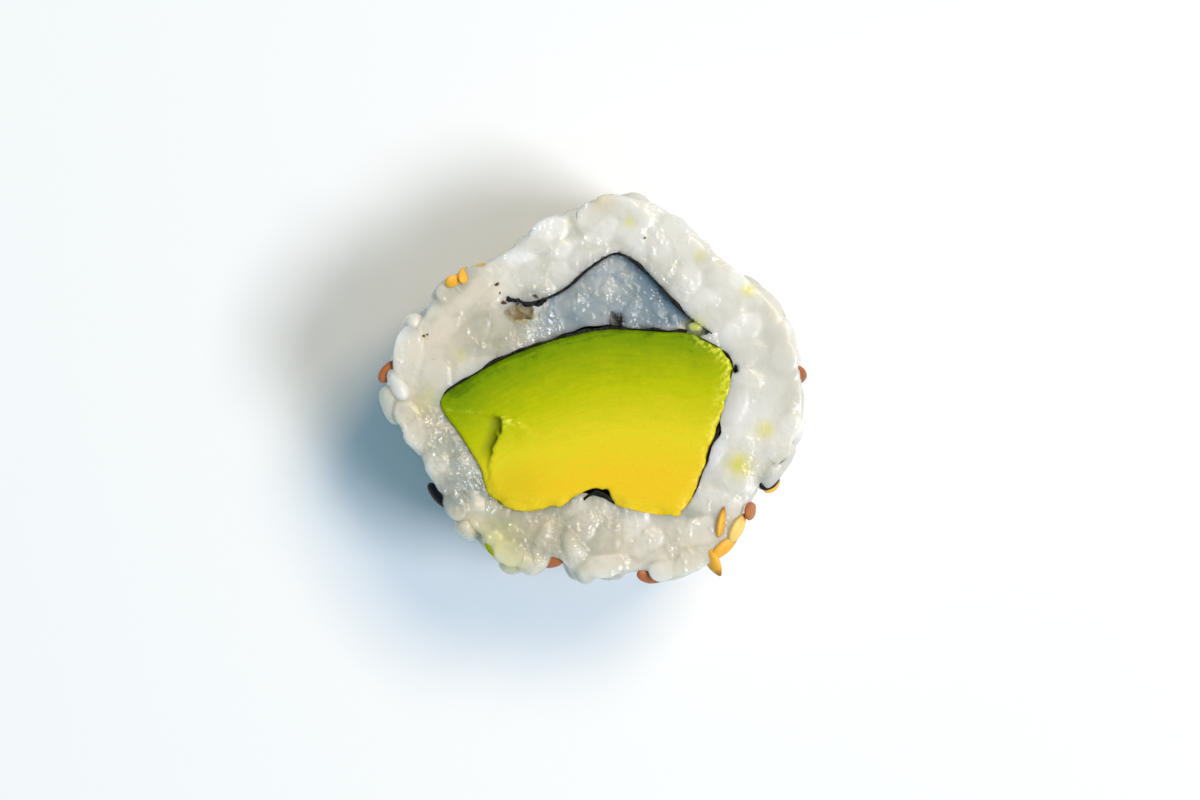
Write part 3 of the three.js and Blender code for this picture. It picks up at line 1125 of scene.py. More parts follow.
    # Greyer patches, strongest at the lower left and bottom: partly clearer rice, partly painted shade on the
    # side away from the light. Negative ones make the rice milkier.
    clear_and_shade_patches: tuple[Place, ...] = (
        (-13.5, -9.5, 5.0, 0.36), (-6.0, -14.5, 5.0, 0.68), (-10.0, 5.2, 3.5, 0.4),
        (-16.5, -3.5, 3.5, 0.4), (-4.5, 7.0, 3.0, 0.3), (-17.0, 6.3, 4.0, -0.2), (-7.7, 14.5, 4.0, -0.18),
        (9.9, -16.5, 4.0, 0.12), (16.1, -5.1, 4.0, -0.34), (13.0, 10.4, 4.5, -0.3),
        (8.0, 16.8, 3.0, -0.35), (0.6, 17.1, 3.5, 0.08),
    )
    cream_patches: tuple[Place, ...] = (
        (-16.0, 6.0, 5.0, 0.45), (-5.6, -14.5, 4.0, 0.55), (2.6, -16.0, 4.0, 0.4),
        (10.0, -16.0, 4.0, 0.35), (0.6, 19.9, 1.3, 0.8), (-12.9, -14.0, 2.2, 0.6),
        (-17.5, -3.0, 3.0, 0.4), (-9.0, 5.0, 3.0, 0.3), (-11.0, 10.5, 2.5, 0.3),
    )
    bites: tuple[Place, ...] = ((-4.5, -19.4, 1.4, 2.1),)
    bite_heights: Place = (4.0, 9.0)
    slit_overshoot: float = 0.2
    hollow: Place = (-7.7, 8.0, 1.4, 1.0, 1.1)
    hollow_waves: Wave = (1.2, 8, 0.38)
    hollow_sink: float = 0.4
    hollow_edge: Place = (1.35, 0.8)
    hollow_heights: Place = (18.0, 22.0)
    pits_cut: tuple[Place, ...] = ((2.3, 7.15, 0.7, 1.05, 2.4), (14.55, 2.2, 0.3, 0.5, 0.6))
    pit_shade_gain: float = 2.2
    pit_shade_edge: float = 0.6

    def build(self) -> Piece:
        """Builds and dresses the rice."""
        rng = np.random.default_rng(self.seed)
        kernels = self.kernels(rng)
        whole = Kernels.together([self.whole_kernels(), self.rim_kernels()])
        rice = self.fused(kernels)
        self.press(rice)
        self.open_pocket(rice)
        self.add_whole(rice, whole)
        count = self.bench.triangles(rice)
        if count > self.triangle_limit:
            self.bench.modify(rice, "DECIMATE", ratio=self.triangle_limit / count)
        self.tint(rice, Kernels.together([kernels, whole]))
        return self.bench.hand_over(rice, self.finish.material(), "rice", "rice")

    def sized(self, rng: np.random.Generator, count: int) -> tuple[Array, Array, Array]:
        """Half sizes, bends and tints of that many uneven grains."""
        uneven = np.clip(rng.normal(1.0, self.grain_spread, (count, 3)), *self.grain_limits)
        halves = np.array(self.grain) / 2.0 * uneven
        return halves, rng.normal(0.0, self.bend_spread, count), rng.beta(*self.tint_spread, count)

    def kernels(self, rng: np.random.Generator) -> Kernels:
        """Every grain of the mass."""
        return Kernels.together(
            [self.wall_kernels(rng), self.face_kernels(rng, 1.0), self.face_kernels(rng, -1.0)]
        )

    def wall_kernels(self, rng: np.random.Generator) -> Kernels:
        """Grains all over the wall, flush with its outline."""
        count = self.wall_grains
        heights = spread(count, SPREAD_HIGH) * self.plan.height
        points, along, out = self.plan.wall(spread(count, SPREAD_ROUND), heights)
        halves, bends, tints = self.sized(rng, count)
        sink = halves[:, 2] + bounded(rng, count, self.wall_sink)
        turn = math.pi * spread(count, SPREAD_TURN)
        tilt = rng.normal(0.0, self.wall_tilt, count)
        laid = Kernels.laid(points - out * sink[:, None], along, out, turn, tilt)
        return Kernels(*laid, halves, bends, tints)

    def whole_kernels(self) -> Kernels:
        """The whole grains that stand out at the upper rim and in the wedge."""
        table = np.array(self.whole_grains)
        count = len(table)
        _, _, out = self.plan.wall(self.plan.share_near(table), table[:, 2])
        near_rim = ease(*self.rim_band, distance_to(self.plan.rice, table))
        lean = unit(out * self.rim_lean * near_rim[:, None] + UP)
        turn = np.radians(table[:, 3])
        first = square_to(lean, np.column_stack([np.cos(turn), np.sin(turn), np.zeros(count)]))
        laid = Kernels.laid(table[:, :3], first, lean, np.zeros(count), np.zeros(count))
        halves = table[:, [4, 5, 5]] / 2.0 * np.array(self.whole_shape)
        return Kernels(*laid, halves, np.full(count, self.whole_bend), table[:, 6])

    def rim_kernels(self) -> Kernels:
        """The grains that stand on the wall with one end at the upper rim."""
        table = np.array(self.rim_grains)
        count = len(table)
        centres = table[:, :3] - np.outer(table[:, 3] / 2.0, UP)
        _, _, out = self.plan.wall(self.plan.share_near(table), centres[:, 2])
        laid = Kernels.laid(centres, UP, out, np.full(count, self.rim_turn), np.zeros(count))
        halves = table[:, [3, 4, 4]] / 2.0
        return Kernels(*laid, halves, np.full(count, self.whole_bend), table[:, 5])

    def face_kernels(self, rng: np.random.Generator, side: float) -> Kernels:
        """Grains of one cut face.

        Args:
            rng: Source of unevenness.
            side: 1 for the upper face and -1 for the lower one.

        Returns:
            The grains.
        """
        rim = self.plan.rice * self.plan.barrel(np.array([self.plan.height]))[0]
        low, high = rim.min(axis=0), rim.max(axis=0)
        steps = (SPREAD_ROUND, SPREAD_HIGH)
        places = low + (high - low) * np.column_stack([spread(self.face_tries, step) for step in steps])
        fits = is_inside(rim, places) & (distance_to(rim, places) > self.face_clear)
        fits &= distance_to(np.array(self.whole_grains)[:, :2], places) > self.whole_clear
        places = places[fits & ~is_inside(beside(self.plan.avocado, -self.face_clear, True), places)]
        count = len(places)
        halves, bends, tints = self.sized(rng, count)
        sink = halves[:, 2] + bounded(rng, count, self.face_sink)
        level = self.plan.height / 2.0 * (1.0 + side) - side * sink
        turn = 2.0 * math.pi * spread(count, SPREAD_TURN)
        tilt = rng.normal(0.0, self.face_tilt, count)
        reach = np.column_stack([np.cos(turn), np.sin(turn)]) * halves[:, :1]
        sticks_out = ~is_inside(rim, places + reach) | ~is_inside(rim, places - reach)
        _, along, _ = self.plan.wall(self.plan.share_near(places), level)
        turn = np.where(sticks_out, np.arctan2(along[:, 1], along[:, 0]) * side, turn)
        laid = Kernels.laid(np.column_stack([places, level]), RIGHT, UP * side, turn, tilt)
        return Kernels(*laid, halves, bends, tints)

    def grain_shape(self, subdivisions: int) -> tuple[Array, Array]:
        """Points and faces of a unit grain: a ball with blunter ends."""
        points, faces = self.bench.ball(subdivisions)
        blunt = np.sqrt(1.0 - np.clip(np.abs(points[:, 0]), 0.0, 1.0) ** self.bluntness)
        slim = np.sqrt(np.clip(1.0 - points[:, 0] ** 2, 1e-6, 1.0))
        points[:, 1:] *= (blunt / slim)[:, None]
        return points, faces

    def add_whole(self, rice: Piece, whole: Kernels) -> None:
        """Fuses the whole grains on, in turns so that no two grains of one turn meet."""
        shape = self.grain_shape(subdivisions=4)
        for turn in range(self.whole_turns):
            grains = whole.part(slice(turn, None, self.whole_turns))
            self.bench.fuse(rice, self.bench.mesh("whole_grains", *grains.arrays(*shape)))

    def fused(self, kernels: Kernels) -> Piece:
        """Grains and core as one closed skin."""
        grains = self.bench.mesh("grains", *kernels.arrays(*self.grain_shape(subdivisions=3)))
        outline, high = self.plan.rice, self.plan.height
        inner = beside(outline, -self.core_inset, True)[::4]
        solids = [self.bench.extruded("rice_body", inner, self.core_sink, high - self.core_sink), grains]
        clean, crumbly = self.cut_inset
        inset = clean + (crumbly - clean) * self.crumbly_share(outline)
        for bottom, top in ((self.cut_sink, self.cut_layer), (high - self.cut_layer, high - self.cut_sink)):
            rim = outline * self.plan.barrel(np.array([(bottom + top) / 2.0]))[0]
            solids.append(self.bench.extruded("cut_layer", beside(rim, -inset, True)[::4], bottom, top))
        rice = self.bench.join("rice_body", solids)
        self.bench.remesh(rice, self.voxel, self.soften)
        self.roughen(rice, self.lumps)
        return rice

    def crumbly_share(self, points: Array) -> Array:
        """How crumbly the cut is: clean at the upper right, crumbly at the lower left."""
        return ease(*self.crumbly_run, points[:, 0] + points[:, 1])

    def wedge_share(self, points: Array) -> Array:
        """How far each point is in the rice under the nori's lap, fading out at its open left end."""
        inside = is_inside(self.plan.wedge, points)
        return inside * ease(*self.wedge_fade, points[:, 0])

    def press(self, rice: Piece) -> None:
        """Presses the cut faces flat and lets the rice under the lap sink."""
        points = self.bench.points(rice)
        top = self.plan.near_top(points, self.press_layer)
        level = self.plan.height - self.top_drop + waves([self.top_waves], points[:, :2])
        points[:, 2] = soft_cap(points[:, 2], level, self.top_softness)
        points[:, 2] = -soft_cap(-points[:, 2], 0.0, self.foot_softness)
        near = np.exp(-distance_to(self.plan.avocado[::3], points) / self.sag_reach)
        low_left = ease(*self.sag_run_y, points[:, 1]) * ease(*self.sag_run_x, points[:, 0])
        sunk = self.wedge_recess * self.wedge_share(points) + self.sag * near * low_left
        points[:, 2] -= top * sunk
        bitten = spots(self.bites, points) * ease(*self.bite_heights, points[:, 2])
        points[:, :2] -= unit(points[:, :2]) * bitten[:, None]
        self.bench.move(rice, points)
        self.roughen(rice, self.pits)
        points = self.bench.points(rice)
        points[:, 2] = np.maximum(points[:, 2], 0.0)
        self.bench.move(rice, points)

    def roughen(self, rice: Piece, layers: Sequence[Place]) -> None:
        """Moves the surface in and out by soft noise of given sizes and strengths, less where it is calm."""
        lively = 1.0 - CALMING * self.calm_share(self.bench.points(rice))
        self.bench.crinkle(rice, layers, self.bench.weigh(rice, "lively", lively))
        rice.vertex_groups.clear()

    def calm_share(self, points: Array) -> Array:
        """How calm the surface is at each point: most at the right of the cut face."""
        return patches(self.calm_patches, points) * self.plan.near_top(points, self.top_layer)

    def open_pocket(self, rice: Piece) -> None:
        """Cuts the pocket of the filling, the lap's slit and the small hollows."""
        below, above = -CUT_MARGIN, self.plan.height + CUT_MARGIN
        edge, lap = self.plan.avocado, self.plan.lap[::2]
        room = self.plan.nori_room * self.plan.gap_share(edge) * (1.0 - patches(self.plan.nori_sunk, edge))
        margin = self.plan.avocado_swell + room + spots(self.plan.nori_leans, edge)
        pocket = beside(edge, margin, True)[::2]
        self.bench.cut(rice, self.bench.extruded("pocket", pocket, below, above))
        slit = strip(lap, self.plan.sheet_thickness * self.plan.gap_share(lap), self.slit_overshoot)
        self.bench.cut(rice, self.bench.extruded("slit", slit, below, above))
        for x, y, length, width, depth in (self.hollow, *self.pits_cut):
            ball, faces = self.bench.ball(subdivisions=3)
            ball *= 1.0 + waves([self.hollow_waves], ball)[:, None]
            points = ball * (length, width, depth) + (x, y, self.plan.height - self.hollow_sink)
            self.bench.cut(rice, self.bench.mesh("hollow", points, faces))

    def tint(self, rice: Piece, kernels: Kernels) -> None:
        """Paints each grain's tint, the seams, the smears, greyer patches partly of painted shade, and
        painted shade in the wedge and hollows.
        """
        points = self.bench.points(rice)
        tints, leads = kernels.blend(points)
        top = self.plan.near_top(points, self.top_layer)
        x, y, length, width, _ = self.hollow
        around = np.hypot((points[:, 0] - x) / length, (points[:, 1] - y) / width)
        least, more = self.wedge_shade
        shade = self.wedge_share(points) * top * (least + more * ease(*self.wedge_run, points[:, 0]))
        dark, fade = self.wedge_tints
        clean, crumbly = self.seam_shares
        seams = clean + crumbly * self.crumbly_share(points)
        pits = [(x, y, width, 1.0) for x, y, _, width, _ in self.pits_cut]
        layers = {
            "tint": tints,
            "calm": self.calm_share(points),
            # Greyer patches: partly clearer rice, partly painted shade on the lower left
            "clear": spots(self.clear_and_shade_patches, points) * top,
            "cream": spots(self.cream_patches, points) * top,
            "seam": ease(*self.seam_lead, leads) * seams,
            "wedge": shade * (dark - fade * tints),
            "gloss": patches(self.gloss_patches, points) * top,
            "smear": patches(self.smears, points) * top,
            # Painted shade inside the hollow
            "hollow": ease(*self.hollow_edge, around) * ease(*self.hollow_heights, points[:, 2]),
            # Painted shade in the small pits
            "pit_shade": np.clip(self.pit_shade_gain * spots(pits, points) - self.pit_shade_edge, 0.0, 1.0) * top,
        }
        self.bench.paint(rice, layers)


# Sesame


class SeedKind(Enum):
    """Kinds of sesame, each with its finish and the record's slot."""

    GOLDEN = (SeedFinish("golden_sesame", srgb(246, 180, 50), srgb(172, 100, 24)), "sesame_golden")
    PALE = (SeedFinish("pale_sesame", srgb(246, 206, 110), srgb(214, 140, 40)), "sesame_golden")
    BROWN = (SeedFinish("toasted_sesame", srgb(182, 104, 50), srgb(110, 55, 24)), "sesame_brown")
    BLACK = (SeedFinish("black_sesame", srgb(9, 12, 19), srgb(5, 6, 10), (0.3, 0.2), 0.2), "sesame_black")

    @property
    def finish(self) -> SeedFinish:
        """The kind's finish."""
        return self.value[0]

    @property
    def slot(self) -> str:
        """The record's slot of the kind."""
        return self.value[1]


@dataclass(frozen=True)
class SeenSeed:
    """A seed that shows from above: its kind, its middle and how it lies.

    The angles are in degrees. A seed that faces 0 lies on the wall, and one that faces 90 on the cut face.
    """

    kind: SeedKind
    place: Place
    turn: float
    facing: float = 90.0
    tilt: float = 0.0
    roll: float = 0.0


@dataclass
class Sesame:
    """Sesame seeds stuck to the rice: those seen at the rim, and more spread over the wall."""

    plan: RollPlan
    bench: Bench
    rice: Piece
    size: Place = (3.2, 1.6, 0.9)
    size_spread: float = 0.07
    size_limits: Place = (0.85, 1.15)
    bend_spread: float = 0.06
    taper: float = 0.4
    taper_power: float = 1.5
    tail_bluntness: float = 2.6
    tip_run: Place = (0.35, 1.0)
    sink: float = 0.45
    lean: float = 1.2
    search: float = 8.0
    wall_seeds: int = 104
    mix: Place = (0.52, 0.26, 0.14, 0.08)
    tilt_spread: float = 0.12
    rim_clear: float = 3.5
    viewing_height: float = 370.0
    foot_clear: float = 2.2
    seed: int = 5
    seen: tuple[SeenSeed, ...] = (
        SeenSeed(SeedKind.GOLDEN, (-14.3, 11.1, 24.4), -25.0, tilt=-52.0, roll=25.0),
        SeenSeed(SeedKind.GOLDEN, (-13.5, 12.0, 24.5), 63.0, tilt=-56.0, roll=35.0),
        SeenSeed(SeedKind.GOLDEN, (-11.85, 12.4, 24.1), 22.0),
        SeenSeed(SeedKind.BROWN, (-21.3, 2.1, 23.6), 50.0),
        SeenSeed(SeedKind.BLACK, (-16.2, -10.95, 24.0), -50.0, facing=45.0),
        SeenSeed(SeedKind.BROWN, (-4.3, -17.65, 23.5), 29.0, facing=50.0),
        SeenSeed(SeedKind.BROWN, (5.75, -19.35, 23.4), -20.0, tilt=-30.0, roll=20.0),
        SeenSeed(SeedKind.GOLDEN, (13.1, -13.6, 24.95), 79.0, roll=75.0),
        SeenSeed(SeedKind.PALE, (14.85, -14.2, 24.8), 63.0, roll=50.0),
        SeenSeed(SeedKind.GOLDEN, (13.5, -16.2, 24.6), 40.0, roll=45.0),
        SeenSeed(SeedKind.GOLDEN, (12.3, -17.8, 24.5), -62.0, roll=45.0),
        SeenSeed(SeedKind.BROWN, (16.2, -12.45, 24.1), 40.0, tilt=-66.0, roll=30.0),
        SeenSeed(SeedKind.BLACK, (18.2, -9.45, 23.3), 20.0, tilt=-50.0),
        SeenSeed(SeedKind.GOLDEN, (18.45, -9.8, 22.8), 30.0, tilt=-50.0),
        SeenSeed(SeedKind.BROWN, (21.3, 1.65, 23.4), -75.0, tilt=-58.0, roll=25.0),
    )

    def build(self) -> list[Piece]:
        """Builds one piece for each kind of seed."""
        points, faces = self.seed_shape()
        tip = ease(*self.tip_run, points[:, 0])
        pieces = []
        for kind, kernels in self.groups(self.bench.skin(self.rice)).items():
            piece = self.bench.mesh(kind.finish.name, *kernels.arrays(points, faces))
            self.bench.paint(piece, {"tip": np.tile(tip, len(kernels.centres))})
            pieces.append(self.bench.hand_over(piece, kind.finish.material(), kind.slot))
        return pieces

    def seed_shape(self) -> tuple[Array, Array]:
        """Points and faces of a unit seed: a ball with a blunt tail and a slim tip."""
        points, faces = self.bench.ball(subdivisions=3)
        tail = np.clip(-points[:, 0], 0.0, 0.999)
        points[:, 1:] *= np.sqrt((1.0 - tail**self.tail_bluntness) / (1.0 - tail**2))[:, None]
        slim = self.taper * np.clip(points[:, 0], 0.0, 1.0) ** self.taper_power
        points[:, 1:] *= (1.0 - slim)[:, None]
        return points, faces

    def groups(self, skin: BVHTree) -> dict[SeedKind, Kernels]:
        """All seeds, sorted by kind."""
        rng = np.random.default_rng(self.seed)
        poses: dict[SeedKind, list[SeedPose]] = {kind: [] for kind in SeedKind}
        for seen in self.seen:
            poses[seen.kind].append(self.seen_pose(seen))
        for kind, pose in self.wall_poses(rng, skin):
            poses[kind].append(pose)
        return {kind: self.kernels(rng, rows) for kind, rows in poses.items()}

    def seen_pose(self, seen: SeenSeed) -> SeedPose:
        """How a seed lies that shows from above."""
        middle = np.array(seen.place)
        _, _, out = self.plan.wall(self.plan.share_near(middle[None]), middle[2:])
        turn, facing, tilt, roll = np.radians([seen.turn, seen.facing, seen.tilt, seen.roll])
        normal = out[0] * math.cos(facing) + UP * math.sin(facing)
        first = np.array([math.cos(turn), math.sin(turn), 0.0])
        return middle, normal, 0.0, tilt, roll, first

    def wall_poses(self, rng: np.random.Generator, skin: BVHTree) -> list[tuple[SeedKind, SeedPose]]:
        """Kinds and poses of the seeds on the wall, without those that would show from above."""
        count = self.wall_seeds
        kinds = rng.choice(list(SeedKind), count, p=self.mix)
        band = self.plan.height - self.rim_clear - self.foot_clear
        heights = self.foot_clear + spread(count, SPREAD_ROUND) * band
        places, along, out = self.plan.wall(spread(count, SPREAD_HIGH), heights)
        poses = []
        for n, kind in enumerate(kinds):
            centre, normal = self.landed(skin, places[n], out[n])
            turn, tilt = rng.uniform(0.0, 2.0 * math.pi), rng.normal(0.0, self.tilt_spread)
            if not self.shows_from_above(skin, centre + normal * self.size[2]):
                poses.append((kind, (centre, normal, turn, tilt, 0.0, along[n])))
        return poses

    def shows_from_above(self, skin: BVHTree, spot: Array) -> bool:
        """Whether a spot beside the wall can be seen past the upper rim."""
        eye = Vector((0.0, 0.0, self.viewing_height))
        way = Vector(spot) - eye
        hit, _, _, _ = skin.ray_cast(eye, way.normalized(), way.length)
        return hit is None

    def landed(self, skin: BVHTree, spot: Array, out: Array) -> tuple[Array, Array]:
        """Centre and direction out of the rice of a seed that is pressed on at a spot."""
        start = Vector(spot + out * self.search)
        hit, normal, _, _ = skin.ray_cast(start, Vector(-out), 2.0 * self.search)
        if hit is None:
            return spot, out
        leaning = unit(np.array(normal) + out * self.lean)
        return np.array(hit) + leaning * (self.size[2] / 2.0 - self.sink), leaning

    def kernels(self, rng: np.random.Generator, poses: list[SeedPose]) -> Kernels:
        """Seeds in those poses, each of a slightly different size."""
        centres, out, turn, tilt, roll, first = (np.array(column) for column in zip(*poses))
        count = len(poses)
        uneven = np.clip(rng.normal(1.0, self.size_spread, (count, 3)), *self.size_limits)
        bends = rng.normal(0.0, self.bend_spread, count)
        laid = Kernels.laid(centres, square_to(out, first), out, turn, tilt)
        return Kernels(*laid, np.array(self.size) / 2.0 * uneven, bends, np.zeros(count)).rolled(roll)


# Avocado


@dataclass
class Avocado:
    """The avocado slice: a moist cut face with a torn flap, a sunk facet and a ragged lower edge."""

    plan: RollPlan
    bench: Bench
    finish: AvocadoFinish
    setback: float = 0.15
    voxel: float = 0.195
    soften: tuple[int, int] = (2, 1)
    facet_depth: float = 0.5
    facet_floor: float = 0.18
    facet_reach: float = 1.2
    facet_run: tuple[Place, Place] = ((-1.6, -3.0), (-9.5, -5.0))
    flap_lift: float = 0.25
    flap_reach: float = 1.5
    shade_reach: Place = (1.6, 0.2)
    shade_run: tuple[Place, Place] = ((-2.3, -2.9), (-8.0, -5.0))
    tear_edge: Place = (-0.06, 0.12)
    tear_waves: tuple[Wave, ...] = ((1.3, 4, 0.24), (1.3, 5, 0.24))
    middle: Place = (0.0, -3.0)
    top_layer: Place = (3.0, 0.6)
    rim_band: Place = (1.2, 0.2)
    low_run: Place = (-8.0, -11.0)
    right_run: Place = (9.0, 12.0)
    low_spill: float = 0.3
    low_waves: tuple[Wave, ...] = ((3.0, 6, 0.22), (2.6, 12, 0.22), (1.1, 19, 0.08))
    low_dips: Wave = (2.6, 12, 0.2)
    chips: tuple[Wave, ...] = ((2.4, 7, 0.7), (0.9, 17, 0.5))
    chip_width: float = 0.24
    chip_height: float = 0.2
    ripe_depth: float = 15.0
    notch: tuple[Place, ...] = (
        (-3.6, -13.2), (2.4, -13.2), (1.9, -11.5), (1.6, -10.9), (1.45, -10.15), (1.25, -10.1),
        (0.85, -10.35), (0.25, -10.1), (-0.5, -10.25), (-1.2, -10.55), (-2.0, -11.05), (-3.3, -11.8),
    )
    facet: tuple[Place, ...] = (
        (-17.0, -1.9), (-14.4, -2.0), (-11.7, -2.3), (-9.8, -2.8), (-9.7, -3.9), (-10.2, -5.5),
        (-10.8, -6.8), (-11.0, -8.8), (-11.6, -10.5), (-16.0, -6.0),
    )
    flap: tuple[Place, ...] = (
        (-6.6, -4.0), (-7.5, -3.4), (-8.6, -2.95), (-9.7, -2.75), (-9.7, -3.9), (-10.2, -5.5),
        (-10.8, -6.8), (-11.0, -8.8), (-11.2, -12.0), (-5.0, -12.0),
    )
    torn_points: tuple[int, int] = (1, 8)
    torn_steps: int = 60
    pale_low: Place = (-9.5, -11.5)
    pale_right: Place = (9.0, 12.5)
    pale_band: Place = (1.7, 0.1)
    pale_shares: Place = (0.35, 0.75)
    # Painted highlight along the flap's lifted lip
    lip_highlight_lift: Place = (0.55, 0.85)
    lip_highlight_run: Place = (-4.5, -3.0)
    crease_points: int = 3
    crease_band: Place = (0.3, 0.05)
    crease_highlight_share: float = 0.2
    fibre_slant: float = 0.35
    fibre_scale: Place = (0.12, 1.0, 0.4)
    crumb: Place = (-10.85, -16.5, 24.65)
    crumb_size: Place = (1.7, 0.5, 0.45)
    crumb_turn: float = -52.0
    crumb_waves: Wave = (1.1, 31, 0.18)
    crumb_ripeness: float = 0.12
    # Painted shade on the flap's lower part, laid on through the torn colour
    painted_shade_patches: tuple[Place, ...] = ((-8.5, -9.8, 3.2, 0.46),)
    ripe_patches: tuple[Place, ...] = (
        (-8.5, -9.8, 3.2, 0.2), (9.0, 0.5, 4.5, 0.05), (-15.0, -1.2, 3.0, -0.06),
    )
    skin_share: float = 0.33

    def build(self) -> Piece:
        """Builds and dresses the avocado."""
        top = self.plan.height - self.setback
        avocado = self.bench.extruded("avocado_slice", self.plan.swollen, 0.0, top)
        notch = self.bench.extruded("notch", np.array(self.notch), -CUT_MARGIN, top + CUT_MARGIN)
        self.bench.cut(avocado, notch)
        before, after = self.soften
        self.bench.remesh(avocado, self.voxel, before)
        self.sculpt(avocado)
        self.bench.remesh(avocado, self.voxel, after)
        self.tint(avocado)
        return self.bench.hand_over(avocado, self.finish.material(), "avocado", "avocado")

    def build_crumb(self, slice_piece: Piece) -> Piece:
        """The green crumb at the lower left rim, in the slice's finish."""
        points, faces = self.bench.ball(subdivisions=3)
        points = points * (1.0 + waves([self.crumb_waves], points)[:, None])
        halves = np.array([self.crumb_size]) / 2.0
        bit = Kernels.level(np.array([self.crumb]), halves, np.radians([self.crumb_turn]), np.zeros(1))
        crumb = self.bench.mesh("avocado_crumb", *bit.arrays(points, faces))
        places = self.bench.points(crumb)
        ripeness = np.full(len(places), self.crumb_ripeness)
        self.bench.paint(crumb, {"ripeness": ripeness, "fibre": places})
        return self.bench.hand_over(crumb, slice_piece.data.materials[0], "avocado")

    def tear(self, points: Array) -> tuple[Array, Array, Array]:
        """How far each point is in the sunk facet, in the lifted flap and in the flap's shade."""
        flat, y = points[:, :2], points[:, 1]
        flap = np.array(self.flap)
        first, last = self.torn_points
        away = distance_to(evenly(flap[first:last], self.torn_steps), points)
        ragged = flat + np.column_stack([waves([wave], flat) for wave in self.tear_waves])
        in_flap = ease(*self.tear_edge, depth_in(flap, ragged))
        beneath = ease(*self.tear_edge, depth_in(np.array(self.facet), ragged)) * (1.0 - in_flap)
        sunk = self.facet_floor + (1.0 - self.facet_floor) * np.exp(-away / self.facet_reach)
        shade = ease(*self.shade_reach, away)
        for facet_step, shade_step in zip(self.facet_run, self.shade_run):
            sunk = sunk * ease(*facet_step, y)
            shade = shade * ease(*shade_step, y)
        return sunk * beneath, np.exp(-away / self.flap_reach) * in_flap, shade * beneath

    def sculpt(self, avocado: Piece) -> None:
        """Tears the facet, lifts the flap and roughens the lower and right edges."""
        points = self.bench.points(avocado)
        top = self.plan.near_top(points, self.top_layer)
        sunk, lifted, _ = self.tear(points)
        points[:, 2] += top * (self.flap_lift * lifted - self.facet_depth * sunk)
        outwards = unit(points[:, :2] - np.array(self.middle))
        rim = ease(*self.rim_band, distance_to(self.plan.swollen[::2], points)) * top
        low_edge = ease(*self.low_run, points[:, 1]) * rim
        right_edge = ease(*self.right_run, points[:, 0]) * rim
        chips = waves(self.chips, points)
        dips = waves([self.low_dips], points) - self.low_dips[2]
        spill = low_edge * (self.low_spill + waves(self.low_waves, points))
        points[:, :2] += outwards * (spill + right_edge * self.chip_width * chips)[:, None]
        points[:, 2] += low_edge * dips + right_edge * self.chip_height * chips
        self.bench.move(avocado, points)

    def tint(self, avocado: Piece) -> None:
        """Paints skin to stone, the fibres, the torn facet with painted shade, and the pale rim with painted
        highlights.
        """
        points = self.bench.points(avocado)
        outline = self.plan.swollen
        skin = outline[: round(self.skin_share * len(outline))]
        depth = distance_to(skin, points)
        sunk, lifted, shade = self.tear(points)
        # Paler flecks at the right and lower edges: partly chipped flesh, partly painted highlights
        low, all_round = self.pale_shares
        ragged = np.maximum(ease(*self.pale_right, points[:, 0]), low * ease(*self.pale_low, points[:, 1]))
        rim = all_round * ease(*self.pale_band, distance_to(outline, points)) * ragged
        # Painted highlights on the lifted lip and along the crease at the facet's top
        lip_highlight = ease(*self.lip_highlight_lift, lifted) * ease(*self.lip_highlight_run, points[:, 1])
        fold = evenly(np.array(self.facet)[: self.crease_points], self.torn_steps)
        crease_highlight = self.crease_highlight_share * ease(*self.crease_band, distance_to(fold, points))
        painted_shade = spots(self.painted_shade_patches, points)
        along = points[:, 0] + self.fibre_slant * points[:, 1]
        ripeness = depth / self.ripe_depth + spots(self.ripe_patches, points)
        layers = {
            "ripeness": np.clip(ripeness, 0.0, 1.0),
            "fibre": np.column_stack([along, depth, points[:, 2]]) * np.array(self.fibre_scale),
            # Torn facet colour, also painted shade: deepest by the flap's edge, and on the flap's lower part
            "torn": np.maximum(sunk, painted_shade),
            "shade": shade,
            # Pale rim flecks, partly chipped flesh and partly painted highlights, and painted highlights on
            # the lip and crease
            "rim": np.maximum(rim, np.maximum(lip_highlight, crease_highlight)),
        }
        self.bench.paint(avocado, layers)


# Nori


